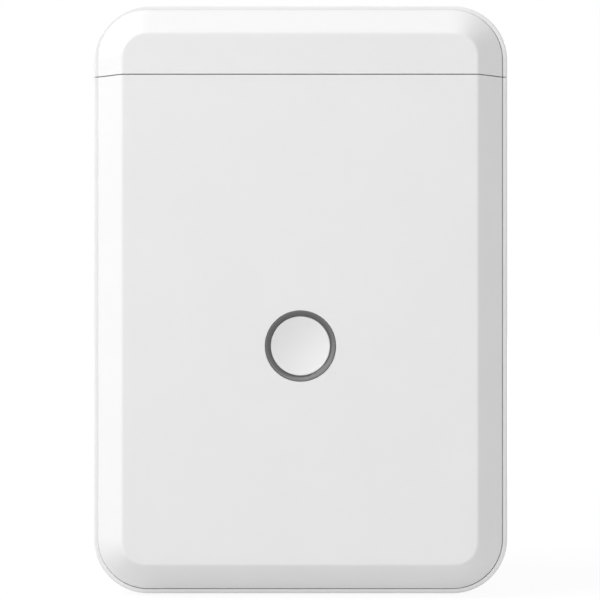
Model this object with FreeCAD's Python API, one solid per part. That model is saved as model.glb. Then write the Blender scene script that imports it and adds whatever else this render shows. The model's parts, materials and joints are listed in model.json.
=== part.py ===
import FreeCAD, Part
import math
import os
from FreeCAD import Vector

# Upright thermal label printer: a rounded box with a flip-up lid over a drop-in tape cassette.
# Millimetres. +Z is up, the front panel faces -Y, +X is to the right in the front view.
# The origin lies on the ground, under the middle of the body.

# Fits: sliding together, turning in a bearing, held in a hole, and passing clear
FIT = 0.1
RUN = 0.06
PRESS = 0.02
GAP = 0.3
REACH = 200.0

# Body
BODY_W = 92.5
BODY_D = 55.0
BODY_H = 131.4
WALL = 2.0
CORNER_R = 12.2
RIM_R = 0.5
RIM_T = 1.0
RIM_RISE = 0.9
BACK_R = 3.0
FOOT_H = 0.5
FOOT_SEAT = 0.8
FOOT_R = 4.2
FOOT_EDGE_R = 0.3
FOOT_SIDE_INSET = 6.05
FOOT_FRONT_INSET = 16.0
FOOT_BACK_INSET = 10.5
FRONT_Y = -BODY_D / 2
BACK_Y = BODY_D / 2
BASE_Z = FOOT_H
TOP_Z = FOOT_H + BODY_H
MID_Z = FOOT_H + BODY_H / 2
INNER_X = BODY_W / 2 - WALL
INNER_BACK_Y = BACK_Y - WALL
FLOOR_Z = BASE_Z + WALL
FOOT_X = BODY_W / 2 - CORNER_R - FOOT_SIDE_INSET
FEET = [(x, y) for x in (-FOOT_X, FOOT_X) for y in (FRONT_Y + FOOT_FRONT_INSET, BACK_Y - FOOT_BACK_INSET)]

# Bevelled front panel: a fine groove parts it from the case's rim, and it rests at the upper left of its play
GROOVE = 0.13
PLAY = 0.6 * GROOVE
BEVEL = 5.8
EDGE_R = 1.0
STEP = 1.0
SEAM = 0.1
LIP = 1.1
LIP_T = 1.2
PANEL_INSET = RIM_T + GROOVE
PANEL_BACK_Y = FRONT_Y + BEVEL + STEP
LEDGE_Y = PANEL_BACK_Y + SEAM
CASE_FRONT_Y = LEDGE_Y - RIM_RISE
PANEL_INNER_Y = FRONT_Y + WALL

# Lid and its hinge along the back
LID_H = 16.0
LID_GAP = 0.22
HINGE_R = 2.6
KNUCKLE_HALF = 20.0
KNUCKLE_ROOM = 0.4
HINGE_PIN_R = 1.0
HINGE_PIN_HALF = 34.0
LID_RIB_T = 1.5
SPLIT_Z = TOP_Z - LID_H
HINGE_Y = BACK_Y - HINGE_R

# Button, its light ring, which slopes in like a funnel, and its switch
BUTTON_RISE = 55.45
BUTTON_R = 6.48
BUTTON_TRAVEL = 0.4
RING_OUT_R = 7.78
RING_IN_R = 6.6
RING_RECESS_OUT = 0.15
RING_RECESS_IN = 0.35
RING_EDGE_R = 0.45
RING_FLANGE_R = 9.4
RING_FLANGE_T = 1.2
RING_DEPTH = 2.0
CAP_RECESS = 0.6
CAP_DISH = 0.7
CAP_EDGE_R = 0.25
CAP_FLANGE_R = 7.4
CAP_FLANGE_T = 0.8
SWITCH_ROOM = 1.4
SWITCH_H = 0.9
SWITCH_HALF = 2.6
PLUNGER_R = 1.1
BUTTON_Z = BASE_Z + BUTTON_RISE
RING_BACK_Y = PANEL_INNER_Y + RING_DEPTH
CAP_BACK_Y = RING_BACK_Y + GAP + CAP_FLANGE_T

# Small screws
SMALL_R = 0.9
SMALL_HEAD_R = 1.6
SMALL_HEAD_H = 1.2
SMALL_HOLE_R = 1.1
SLOT_W = 0.6
SLOT_DEPTH = 0.6

# Main board, behind the button
BOARD_T = 1.6
BOARD_SIDE = 9.25
BOARD_RISE = 11.2
BOARD_DROP = 36.2
BOARD_POST_R = 2.6
BOARD_SCREW_L = 4.6
BOARD_SCREW_INSET = 4.0
BOARD_SCREW_RISE = 6.0
BOARD_SCREW_DROP = 16.0
COLUMN_PITCH = 13.0
ROW_PITCH = 14.5
CHIP_W = 10.0
SMALL_CHIP_W = 7.0
CHIP_T = 1.1
SOCKET_W = 5.0
SOCKET_L = 12.0
SOCKET_T = 4.2
CHOKE_W = 6.0
CHOKE_T = 3.0
CAN_R = 3.1
CAN_H = 7.5
RADIO_W = 12.0
RADIO_L = 15.0
RADIO_T = 2.2
LED_W = 1.6
LED_H = 1.2
LED_T = 0.7
BOARD_FRONT_Y = CAP_BACK_Y + SWITCH_ROOM
BOARD_BACK_Y = BOARD_FRONT_Y + BOARD_T
BOARD_HALF_W = INNER_X - BOARD_SIDE
BOARD_Z0 = BASE_Z + BOARD_RISE
BOARD_Z1 = SPLIT_Z - BOARD_DROP
BOARD_SCREW_X = BOARD_HALF_W - BOARD_SCREW_INSET
BOARD_SCREW_ROWS = (BOARD_Z0 + BOARD_SCREW_RISE, BOARD_Z1 - BOARD_SCREW_DROP)
BOARD_SCREWS = [(x, z) for z in BOARD_SCREW_ROWS for x in (-BOARD_SCREW_X, BOARD_SCREW_X)]

# Power inlet on the board, behind the right side wall
INLET_AXIS = 4.5
INLET_DROP = 2.3
INLET_BLOCK_L = 12.5
INLET_BLOCK_HALF = 5.0
INLET_NOSE_R = 4.0
INLET_BORE_R = 3.0
INLET_PIN_R = 1.0
INLET_PIN_SINK = 1.0
INLET_RECESS = 0.3
INLET_BACK_T = 2.5
INLET_Y = BOARD_BACK_Y + INLET_AXIS
INLET_Z = BOARD_Z1 - INLET_DROP

# Six slim cells stand in two rows behind the battery door
CELL_R = 5.15
CELL_L = 44.5
CELL_EDGE_R = 0.5
CELL_NUB_R = 1.9
CELL_NUB_H = 0.8
CELL_PITCH = 10.8
CELL_ROOM = 0.4
CELL_SLACK = 0.7
CONTACT_T = 0.5
CONTACT_HALF = 3.6
SPRING_WIRE = 0.5
SPRING_COIL_R = 2.2
SPRING_PITCH = 1.02
SPRING_TURNS = 2.25
SPRING_PLAY = 0.05
BATTERY_WALL = 1.4
BATTERY_FLOOR_T = 1.8
BATTERY_RIB_T = 0.5
BATTERY_RIB_D = 4.0
BATTERY_RIB_INSET = 10.0
SPRING_H = SPRING_TURNS * SPRING_PITCH + SPRING_WIRE + 2 * SPRING_PLAY
BATTERY_Z0 = FLOOR_Z + BATTERY_FLOOR_T
BATTERY_Z1 = BATTERY_Z0 + 2 * CONTACT_T + SPRING_H + CELL_L + CELL_SLACK
BATTERY_HALF_W = CELL_PITCH + CELL_R + CELL_ROOM
BACK_ROW_Y = INNER_BACK_Y - CELL_ROOM - CELL_R
CELL_ROWS = (BACK_ROW_Y - CELL_PITCH, BACK_ROW_Y)
BATTERY_FRONT_Y = CELL_ROWS[0] - CELL_R - CELL_ROOM

# Battery door, on two pins at its lower corners
DOOR_GAP = 0.25
DOOR_RISE = 4.8
DOOR_TOP_INSET = 1.7
DOOR_PIN_R = 0.55
DOOR_PIN_L = 1.6
GRIP_HALF_W = 9.0
GRIP_W = 0.9
GRIP_PITCH = 2.0
GRIP_DEPTH = 0.5
GRIP_TOP = 3.1
GRIPS = 4
SCOOP_R = 14.0
SCOOP_DEPTH = 1.2
SCOOP_RISE = 2.5
DOOR_Z0 = BASE_Z + DOOR_RISE
DOOR_Z1 = BATTERY_Z1 - DOOR_TOP_INSET
DOOR_HALF_W = BATTERY_HALF_W - DOOR_GAP

# Chassis floor, on brackets of the case
SHELF_DROP = 23.5
SHELF_T = 2.5
SHELF_GAP = 0.35
SHELF_FRONT = 8.8
BRACKET_W = 6.0
SIDE_BRACKET = 7.0
BACK_BRACKET = 5.0
BRACKET_SLOPE = 1.4
FRONT_BRACKET_Y = 22.5
SIDE_SCREW_INSET = 4.25
SIDE_SCREW_BACK = 15.5
BACK_SCREW_INSET = 1.95
CHASSIS_SCREW_L = 7.0
SHELF_Z1 = SPLIT_Z - SHELF_DROP
SHELF_Z0 = SHELF_Z1 - SHELF_T
SHELF_X = INNER_X - SHELF_GAP
SHELF_Y0 = FRONT_Y + SHELF_FRONT
SHELF_Y1 = INNER_BACK_Y - SHELF_GAP
SIDE_SCREW_Y = BACK_Y - SIDE_SCREW_BACK

# Cassette: its corner lies by the tape's exit
CASSETTE_LEFT = 20.5
CASSETTE_FRONT = 0.5
CASSETTE_H = 26.0
CASSETTE_T = 1.2
CASSETTE_R = 3.0
COVER_T = 1.0
ROLL_R = 14.0
ROLL_ROOM = 1.3
ROLL_CORE_R = 7.0
ROLL_POST_R = 4.0
POST_DROP = 6.0
SPOOL_LIFT = 0.1
SPOOL_ROOM = 0.8
TAKE_UP_R = 4.0
TAKE_UP_INSET = 7.0
SUPPLY_R = 4.2
SUPPLY_POST_R = 2.0
SPOOL_GAP = 2.5
VIEW_HALF_W = 3.0
VIEW_R = 2.8
CASSETTE_X0 = -CASSETTE_LEFT
CASSETTE_Y0 = SHELF_Y0 + CASSETTE_FRONT
CASSETTE_Y1 = CASSETTE_Y0 + 2 * (ROLL_R + ROLL_ROOM + CASSETTE_T)
CASSETTE_Z0 = SHELF_Z1 + GAP
CASSETTE_Z1 = CASSETTE_Z0 + CASSETTE_H
CASSETTE_FLOOR_Z = CASSETTE_Z0 + CASSETTE_T
COVER_Z0 = CASSETTE_Z1 - COVER_T

# Tape path: a straight line along X, from the roll past the platen to the cutter and the exit
TAPE_W = 18.0
TAPE_RISE = 13.0
TAPE_T = 0.25
TAPE_NIP = 0.05
PLATEN_INSET = 9.0
PLATEN_SETBACK = 5.3
PLATEN_R = 3.75
PLATEN_CORE_R = 2.5
PLATEN_HALF_L = 10.0
TAPE_ROOM = 0.3
TAPE_MID_Z = CASSETTE_Z0 + TAPE_RISE
TAPE_Z0 = TAPE_MID_Z - TAPE_W / 2
TAPE_Z1 = TAPE_MID_Z + TAPE_W / 2
PLATEN = Vector(CASSETTE_X0 + PLATEN_INSET, CASSETTE_Y0 + PLATEN_SETBACK, 0)
TAPE_Y0 = PLATEN.y + PLATEN_R + TAPE_NIP
TAPE_Y1 = TAPE_Y0 + TAPE_T

# Print head on a swinging arm, inside the cassette's window
WINDOW_INSET = 2.2
WINDOW_W = 22.5
WINDOW_WALL = 1.0
WINDOW_ROOM = 0.6
HEAD_HALF_W = 5.0
HEAD_RISE = 2.2
HEAD_H = 22.0
HEAD_T = 1.2
HEAD_NIP = 0.1
HEAD_INSET = 1.0
SINK_T = 2.4
FIN_PITCH = 2.0
FIN_W = 1.0
FIN_DEPTH = 1.5
ARM_T = 1.2
ARM_LUG_R = 2.0
ARM_LUG_L = 5.0
ARM_HOLD = 2.0
HEAD_PIVOT_R = 1.0
HEAD_PIVOT_INSET = 2.7
HEAD_PIVOT_SETBACK = 0.5
HEAD_SPRING_R = 1.6
HEAD_SPRING_WIRE = 0.45
HEAD_SPRING_PITCH = 0.92
HEAD_SPRING_TURNS = 4
HEAD_SPRING_PLAY = 0.2
SPRING_POST_T = 1.4
SPRING_POST_HALF = 3.0
SPRING_POST_RISE = 5.0
HEAD_Y = TAPE_Y1 + HEAD_NIP
ARM_BACK_Y = HEAD_Y + HEAD_T + SINK_T + ARM_T
HEAD_SPRING_L = HEAD_SPRING_TURNS * HEAD_SPRING_PITCH + HEAD_SPRING_WIRE
SPRING_POST_Y = ARM_BACK_Y + HEAD_SPRING_L + 2 * HEAD_SPRING_PLAY
WINDOW_X0 = CASSETTE_X0 + WINDOW_INSET
WINDOW_X1 = WINDOW_X0 + WINDOW_W
WINDOW_Y0 = TAPE_Y0 - TAPE_ROOM
WINDOW_Y1 = SPRING_POST_Y + SPRING_POST_T + WINDOW_ROOM
HEAD_X0 = PLATEN.x - HEAD_HALF_W
HEAD_X1 = PLATEN.x + HEAD_HALF_W
HEAD_Z0 = CASSETTE_Z0 + HEAD_RISE
HEAD_Z1 = HEAD_Z0 + HEAD_H
HEAD_PIVOT = Vector(WINDOW_X1 - HEAD_PIVOT_INSET, ARM_BACK_Y - HEAD_PIVOT_SETBACK, 0)

# Spools stand behind the window, the tape roll beside it
SPOOL_Y = WINDOW_Y1 + WINDOW_WALL + SPOOL_ROOM
TAKE_UP = Vector(CASSETTE_X0 + TAKE_UP_INSET, SPOOL_Y + TAKE_UP_R, 0)
SUPPLY = Vector(TAKE_UP.x + TAKE_UP_R + SPOOL_GAP + SUPPLY_R, SPOOL_Y + SUPPLY_R, 0)
ROLL = Vector(WINDOW_X1 + WINDOW_WALL + ROLL_ROOM + ROLL_R, (CASSETTE_Y0 + CASSETTE_Y1) / 2, 0)
CASSETTE_X1 = ROLL.x + ROLL_R + ROLL_ROOM + CASSETTE_T

# Bay that the cassette drops into
BAY_GAP = 0.4
BAY_T = 1.4
BAY_DROP = 4.2
TAPE_WAY = 4.0
THUMB_R = 11.0
THUMB_RISE = 2.0
SINK_IN = 0.5
BAY_TOP_Z = SPLIT_Z - BAY_DROP

# Gears under the chassis floor: one module for every wheel
MODULE = 0.5
TOOTH_FILL = 0.84
PRESSURE_ANGLE = math.radians(20.0)
ADDENDUM = 0.9
DEDENDUM = 1.25
PLATEN_TEETH = 22
RIBBON_TEETH = 26
IDLER_TEETH = 20
REDUCTION_TEETH = 40
REDUCTION_PINION_TEETH = 14
MOTOR_TEETH = 12
GEAR_W = 4.0
GEAR_GAP = 1.2
GEAR_PLATE_T = 1.2
GEAR_PLATE_GAP = 1.0
GEAR_PLATE_R = 3.0
HUB_T = 0.9
IDLER_HUB_R = 2.2
POST_R = 1.0
SPINDLE_R = 1.5
RIBBON_SPINDLE_R = 2.0
SPINDLE_DROP = 2.0
PILLAR_R = 2.2
PILLAR_INSET = 3.2
PLATE_SCREW_L = 6.0
WEB_OUT_R = 8.2
WEB_IN_R = 4.4
WEB_DEPTH = 1.6
HIGH_GEAR_Z1 = SHELF_Z0 - GEAR_GAP
HIGH_GEAR_Z0 = HIGH_GEAR_Z1 - GEAR_W
LOW_GEAR_Z1 = HIGH_GEAR_Z0 - GEAR_GAP
LOW_GEAR_Z0 = LOW_GEAR_Z1 - GEAR_W
GEAR_PLATE_Z1 = LOW_GEAR_Z0 - GEAR_PLATE_GAP
GEAR_PLATE_Z0 = GEAR_PLATE_Z1 - GEAR_PLATE_T
GEAR_LOW = GEAR_PLATE_Z1 + FIT
GEAR_HIGH = SHELF_Z0 - FIT

# Feed motor, hung from the gear plate over the cells
MOTOR_R = 10.0
MOTOR_SHAFT_R = 1.0
MOTOR_BOSS_R = 3.2
MOTOR_EAR_REACH = 14.0
MOTOR_EAR_HALF = 4.0
MOTOR_EAR_T = 1.0
MOTOR_FLOOR_T = 1.0
PINION_SPARE = 0.4
MOTOR_Z0 = BATTERY_Z1 + BATTERY_WALL + GAP

# Scissor cutter, in planes across the tape
CUTTER_GAP = 6.5
BLADE_T = 0.8
BLADE_L = 26.5
BLADE_W = 6.5
BLADE_OPEN = 25.0
BLADE_EDGE = 1.4
BLADE_LAND = 0.1
CUT_TRAVEL = 27.0
CUT_SETBACK = 0.5
CUT_PIVOT_DROP = 1.2
CUT_PIVOT_R = 1.2
CUT_PIVOT_HEAD_R = 2.0
CUT_PIVOT_HEAD_H = 0.2
FIXED_BLADE_W = 5.0
FIXED_EYE_R = 2.8
MOVING_EYE_R = 3.4
FIXED_FLANGE_W = 4.6
FIXED_FLANGE_L = 3.6
FIXED_FLANGE_BACK = 2.4
FIXED_STEM_H = 6.0
SECTOR_TEETH = 36
CUTTER_PINION_TEETH = 12
CUTTER_GEAR_TEETH = 36
CUTTER_GEAR_W = 2.0
CUTTER_SHAFT_R = 2.0
FRAME_T = 1.2
FRAME_GAP = 1.2
FRAME_HALF = 7.5
FRAME_BACK = 13.5
FRAME_RISE = 2.8
FRAME_NECK = 3.0
FLANGE_EDGE = 2.8
CUTTER_SCREW_L = 3.6
CUTTER_SCREW_FRONT = 5.6
CUTTER_SCREW_BACK = 10.0
CUTTER_MOTOR_R = 6.0
CUTTER_MOTOR_FLAT = 5.0
CUTTER_MOTOR_L = 16.0
CUTTER_MOTOR_SHAFT_R = 0.75
CUTTER_MOTOR_HOLE_R = 1.6
SLOT_FRONT = 8.0
SLOT_BACK = 14.0
FIXED_BLADE_X = CASSETTE_X0 - CUTTER_GAP
MOVING_BLADE_X = FIXED_BLADE_X - BLADE_T - FIT
FRAME_X1 = MOVING_BLADE_X - BLADE_T - FRAME_GAP
FRAME_X0 = FRAME_X1 - FRAME_T
TAPE_END_X = FIXED_BLADE_X + BLADE_T
CUT_Y = TAPE_Y0 - CUT_SETBACK
CUT_PIVOT_Z = SHELF_Z1 - CUT_PIVOT_DROP
CUTTER_GEAR_Z = CUT_PIVOT_Z - MODULE * (SECTOR_TEETH + CUTTER_PINION_TEETH) / 2
CUTTER_MOTOR_Z = CUTTER_GEAR_Z - MODULE * (CUTTER_GEAR_TEETH + CUTTER_PINION_TEETH) / 2
CUTTER_GEAR_X1 = FRAME_X0 - GAP
CUTTER_GEAR_X0 = CUTTER_GEAR_X1 - CUTTER_GEAR_W
FLANGE_X0 = -SHELF_X + FLANGE_EDGE
CUTTER_SCREW_X = (FLANGE_X0 + FRAME_X0) / 2
CUTTER_SCREWS = [(CUTTER_SCREW_X, CUT_Y - CUTTER_SCREW_FRONT), (CUTTER_SCREW_X, CUT_Y + CUTTER_SCREW_BACK)]

# Case screws run from the back into bosses of the front cover, the upper pair below the cutter
CASE_SCREW_INSET = 5.25
CASE_SCREW_LOW = 11.2
CASE_SCREW_L = 26.0
BOSS_R = 4.2
BOSS_MEET_Y = 0.0
COVER_BOSS_R = 3.2
SCREW_R = 1.25
SCREW_HEAD_R = 2.6
SCREW_HEAD_H = 2.0
SCREW_SINK = 11.5
SCREW_ROOM = 0.2
BORE_SPARE = 1.0
SCREW_SEAT_Y = BACK_Y - SCREW_SINK
CASE_SCREW_X = INNER_X - CASE_SCREW_INSET
CASE_SCREW_HIGH_Z = CUTTER_MOTOR_Z - CUTTER_MOTOR_R - COVER_BOSS_R - GAP
CASE_SCREW_ROWS = (BASE_Z + CASE_SCREW_LOW, CASE_SCREW_HIGH_Z)
CASE_SCREWS = [(x, z) for z in CASE_SCREW_ROWS for x in (-CASE_SCREW_X, CASE_SCREW_X)]

# Tape exit: a channel, and a notch in the left wall that the lid closes
EXIT_HALF = 1.7
EXIT_RISE = 2.5
GUIDE_GAP = 3.0
GUIDE_H = 22.0
GUIDE_T = 1.2
GUIDE_FLARE = 1.2

# Chassis screws: one by the side wall, two along the back wall
SIDE_SCREW = (-INNER_X + SIDE_SCREW_INSET, SIDE_SCREW_Y)
BACK_SCREW_Y = INNER_BACK_Y - BACK_SCREW_INSET
BACK_SCREWS = [(FIXED_BLADE_X, BACK_SCREW_Y), (ROLL.x, BACK_SCREW_Y)]
CHASSIS_SCREWS = [SIDE_SCREW] + BACK_SCREWS


def box(x0, x1, y0, y1, z0, z1):
    return Part.makeBox(x1 - x0, y1 - y0, z1 - z0, Vector(x0, y0, z0))


def rod_x(y, z, x0, x1, radius):
    return Part.makeCylinder(radius, x1 - x0, Vector(x0, y, z), Vector(1, 0, 0))


def rod_y(x, z, y0, y1, radius):
    return Part.makeCylinder(radius, y1 - y0, Vector(x, y0, z), Vector(0, 1, 0))


def rod_z(x, y, z0, z1, radius):
    return Part.makeCylinder(radius, z1 - z0, Vector(x, y, z0), Vector(0, 0, 1))


def hole_z(place, radius):
    """A round hole right through, upright."""
    return rod_z(place[0], place[1], -REACH, REACH, radius)


def tube_z(place, z0, z1, outer, inner):
    return rod_z(place.x, place.y, z0, z1, outer).cut(hole_z(place, inner))


def rounded_wire(width, height, radius, to_space):
    """A rounded rectangle about (0, 0); to_space maps its two coordinates to a point."""
    centres = [(1, -1), (1, 1), (-1, 1), (-1, -1)]
    arcs = []
    for quarter, (side, rise) in enumerate(centres):
        across = side * (width / 2 - radius)
        up = rise * (height / 2 - radius)
        turns = [math.radians(90 * quarter - 90 + step) for step in (0, 45, 90)]
        arcs.append([to_space(across + radius * math.cos(t), up + radius * math.sin(t)) for t in turns])
    edges = []
    for arc, following in zip(arcs, arcs[1:] + arcs[:1]):
        edges.append(Part.Arc(*arc).toShape())
        edges.append(Part.makeLine(arc[2], following[0]))
    return Part.Wire(edges)


def front_block(inset, y0, y1):
    """The body's rounded outline in the front view, set in by inset and drawn out along Y."""
    wire = rounded_wire(BODY_W - 2 * inset, BODY_H - 2 * inset, CORNER_R - inset,
                        lambda across, up: Vector(across, y0, MID_Z + up))
    return Part.Face(wire).extrude(Vector(0, y1 - y0, 0))


def plan_block(x0, x1, y0, y1, z0, z1, radius):
    """A rounded rectangle in plan, drawn out along Z."""
    mid_x = (x0 + x1) / 2
    mid_y = (y0 + y1) / 2
    wire = rounded_wire(x1 - x0, y1 - y0, radius, lambda a, b: Vector(mid_x + a, mid_y + b, z0))
    return Part.Face(wire).extrude(Vector(0, 0, z1 - z0))


def drawn(points, travel):
    """A closed outline through the points, drawn out along a vector."""
    return Part.Face(Part.makePolygon(points + points[:1])).extrude(travel)


def turned_y(profile, x, z):
    """A closed outline of (radius, y) points, turned about an axis along Y."""
    points = [Vector(x + radius, y, z) for radius, y in profile]
    return Part.Face(Part.makePolygon(points + points[:1])).revolve(Vector(x, 0, z), Vector(0, 1, 0), 360)


def edges_at_y(shape, y):
    def flat_at(edge):
        return abs(edge.BoundBox.YMin - y) < 1e-4 and abs(edge.BoundBox.YMax - y) < 1e-4
    return [edge for edge in shape.Edges if flat_at(edge)]


def fused(first, *others):
    return first.fuse(list(others)).removeSplitter()


def solids(pieces):
    """Separate solids kept together in one node."""
    return Part.makeCompound(list(pieces))


def below_split(shape):
    return shape.common(box(-REACH, REACH, -REACH, REACH, -REACH, SPLIT_Z - LID_GAP / 2))


def above_split(shape):
    return shape.common(box(-REACH, REACH, -REACH, REACH, SPLIT_Z + LID_GAP / 2, REACH))


# Casing

def case_block():
    """The outside of the rear case and the lid's shell, in one."""
    block = front_block(0, CASE_FRONT_Y, BACK_Y)
    block = block.makeFillet(RIM_R, edges_at_y(block, CASE_FRONT_Y))
    return block.makeFillet(BACK_R, edges_at_y(block, BACK_Y))


def case_tub():
    ledge = front_block(RIM_T, FRONT_Y, LEDGE_Y)
    return case_block().cut([front_block(WALL, FRONT_Y, INNER_BACK_Y), ledge])


def panel_block(inset, back_y):
    """The bevelled block of the front panel, or its offset inside by inset."""
    front = FRONT_Y + inset
    block = front_block(PANEL_INSET + inset, front, back_y)
    bevel = BEVEL - inset * (2 - math.sqrt(2))
    block = block.makeChamfer(bevel, edges_at_y(block, front))
    if inset == 0:
        block = block.makeFillet(EDGE_R, edges_at_y(block, front))
    return block.translated(Vector(-PLAY, 0, PLAY))


def panel_shell():
    """The whole front panel with the lip that locates it inside the case."""
    shell = panel_block(0, PANEL_BACK_Y).cut(panel_block(WALL, PANEL_BACK_Y + WALL))
    start = PANEL_BACK_Y - STEP
    end = PANEL_BACK_Y + LIP
    lip = front_block(WALL + FIT, start, end).cut(front_block(WALL + FIT + LIP_T, start, end))
    return fused(shell, lip)


def front_cover(shell):
    hole = rod_y(0, BUTTON_Z, FRONT_Y - WALL, PANEL_INNER_Y + WALL, RING_OUT_R + FIT)
    inside = panel_block(WALL / 2, BOSS_MEET_Y)
    bosses = [rod_y(x, z, FRONT_Y, BOSS_MEET_Y, COVER_BOSS_R).common(inside) for x, z in CASE_SCREWS]
    posts = [rod_y(x, z, PANEL_INNER_Y, BOARD_FRONT_Y, BOARD_POST_R) for x, z in BOARD_SCREWS]
    cover = fused(below_split(shell).cut(hole), *bosses, *posts)
    screw_end = SCREW_SEAT_Y - CASE_SCREW_L - BORE_SPARE
    bores = [rod_y(x, z, screw_end, BOSS_MEET_Y, SCREW_R + RUN) for x, z in CASE_SCREWS]
    post_end = BOARD_BACK_Y - BOARD_SCREW_L - BORE_SPARE / 2
    bores += [rod_y(x, z, post_end, BOARD_FRONT_Y, SMALL_R + RUN) for x, z in BOARD_SCREWS]
    return cover.cut(bores)


def hinge_barrel(x0, x1):
    return rod_x(HINGE_Y, SPLIT_Z, x0, x1, HINGE_R)


def side_bracket(side, y):
    """A triangular bracket under the chassis floor, on a side wall."""
    wall = side * INNER_X
    tip = side * (INNER_X - SIDE_BRACKET)
    outline = [(wall, SHELF_Z0), (tip, SHELF_Z0), (wall, SHELF_Z0 - SIDE_BRACKET * BRACKET_SLOPE)]
    return drawn([Vector(x, y - BRACKET_W / 2, z) for x, z in outline], Vector(0, BRACKET_W, 0))


def back_bracket(x):
    """A triangular bracket under the chassis floor, on the back wall."""
    tip = INNER_BACK_Y - BACK_BRACKET
    low = SHELF_Z0 - BACK_BRACKET * BRACKET_SLOPE
    outline = [(INNER_BACK_Y, SHELF_Z0), (tip, SHELF_Z0), (INNER_BACK_Y, low)]
    return drawn([Vector(x - BRACKET_W / 2, y, z) for y, z in outline], Vector(BRACKET_W, 0, 0))


def knuckle_room():
    """The space that the lid's knuckle turns in."""
    half = KNUCKLE_HALF + LID_GAP / 2
    return box(-half, half, HINGE_Y - HINGE_R - GAP, BACK_Y + WALL, SPLIT_Z - HINGE_R - KNUCKLE_ROOM, TOP_Z)


def case_screw_holes():
    heads = [rod_y(x, z, SCREW_SEAT_Y, BACK_Y + WALL, SCREW_HEAD_R + GAP) for x, z in CASE_SCREWS]
    shanks = [rod_y(x, z, BOSS_MEET_Y, SCREW_SEAT_Y, SCREW_R + SCREW_ROOM) for x, z in CASE_SCREWS]
    return heads + shanks


def door_cuts():
    """The door's opening, the sockets of its pins and the scoop for a thumb."""
    opening = box(-BATTERY_HALF_W, BATTERY_HALF_W, INNER_BACK_Y - WALL, BACK_Y + WALL,
                  DOOR_Z0 - DOOR_GAP, DOOR_Z1 + DOOR_GAP)
    y, z = door_axis()
    reach = DOOR_HALF_W + DOOR_PIN_L
    sockets = rod_x(y, z, -reach, reach, DOOR_PIN_R + RUN)
    scoop = Part.makeSphere(SCOOP_R, Vector(0, BACK_Y + SCOOP_R - SCOOP_DEPTH, DOOR_Z1 + SCOOP_RISE))
    return [opening, sockets, scoop]


def wall_cuts():
    """The tape's exit in the left wall and the power inlet's hole in the right one."""
    tape_exit = box(-BODY_W / 2 - WALL, -INNER_X + WALL, TAPE_Y0 - EXIT_HALF, TAPE_Y1 + EXIT_HALF,
                    CASSETTE_Z0 + EXIT_RISE, SPLIT_Z + WALL)
    inlet = rod_x(INLET_Y, INLET_Z, INNER_X - WALL, BODY_W / 2 + WALL, INLET_NOSE_R + FIT)
    return [tape_exit, inlet]


def main_case(tub):
    start = KNUCKLE_HALF + LID_GAP / 2
    outside = case_block()
    barrels = [hinge_barrel(start, BODY_W).common(outside), hinge_barrel(-BODY_W, -start).common(outside)]
    bosses = [rod_y(x, z, BOSS_MEET_Y + FIT, INNER_BACK_Y, BOSS_R) for x, z in CASE_SCREWS]
    brackets = [side_bracket(side, SIDE_SCREW_Y) for side in (-1, 1)]
    brackets.append(side_bracket(1, FRONT_Y + FRONT_BRACKET_Y))
    brackets += [back_bracket(x) for x, y in BACK_SCREWS]
    case = fused(below_split(tub).cut(knuckle_room()), *barrels, *bosses, *brackets)
    pin = rod_x(HINGE_Y, SPLIT_Z, -HINGE_PIN_HALF, HINGE_PIN_HALF, HINGE_PIN_R + RUN)
    pilots = [rod_z(x, y, SHELF_Z1 - CHASSIS_SCREW_L - BORE_SPARE / 2, SHELF_Z0, SMALL_R + RUN)
              for x, y in CHASSIS_SCREWS]
    feet = [rod_z(x, y, 0, BASE_Z + FOOT_SEAT, FOOT_R + FIT) for x, y in FEET]
    return case.cut(case_screw_holes() + door_cuts() + wall_cuts() + pilots + feet + [pin])


def rubber_feet():
    feet = []
    for x, y in FEET:
        foot = rod_z(x, y, 0, FOOT_H + FOOT_SEAT, FOOT_R)
        lower_edge = [edge for edge in foot.Edges if edge.BoundBox.ZMax < 1e-4]
        feet.append(foot.makeFillet(FOOT_EDGE_R, lower_edge))
    return solids(feet)


def screw_y(x, z, seat_y, length, radius, head_r, head_h):
    """A screw with its head towards +Y and a cross slot."""
    top = seat_y + head_h
    shank = rod_y(x, z, seat_y - length, seat_y, radius)
    head = rod_y(x, z, seat_y, top, head_r)
    long = head_r * 0.6
    short = SLOT_W / 2
    cross = [box(x - a, x + a, top - SLOT_DEPTH, top, z - b, z + b)
             for a, b in ((long, short), (short, long))]
    return fused(shank, head).cut(cross)


def screw_z(x, y, seat_z, length, up=1):
    """A small screw along Z; up is 1 for a head on top and -1 for a head below."""
    low = min(seat_z, seat_z - up * length)
    shank = rod_z(x, y, low, low + length, SMALL_R)
    head_low = min(seat_z, seat_z + up * SMALL_HEAD_H)
    return fused(shank, rod_z(x, y, head_low, head_low + SMALL_HEAD_H, SMALL_HEAD_R))


def case_screws():
    return solids(screw_y(x, z, SCREW_SEAT_Y, CASE_SCREW_L, SCREW_R, SCREW_HEAD_R, SCREW_HEAD_H)
                  for x, z in CASE_SCREWS)


# Lid

def lid_ribs():
    """Ribs that hold the cassette down, and one that holds the head's arm."""
    top = TOP_Z - WALL
    spacing = ROLL_R - LID_RIB_T
    ribs = [box(x - LID_RIB_T / 2, x + LID_RIB_T / 2, CASSETTE_Y0 + ROLL_R / 2, CASSETTE_Y1 - CASSETTE_R,
                CASSETTE_Z1 + GAP, top) for x in (ROLL.x - spacing, ROLL.x, ROLL.x + spacing)]
    arm_y = ARM_BACK_Y + GAP
    ribs.append(box(HEAD_X1 - LID_RIB_T, HEAD_X1 + 2 * LID_RIB_T, arm_y, arm_y + LID_RIB_T,
                    HEAD_Z1 - ARM_HOLD, top))
    return ribs


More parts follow.
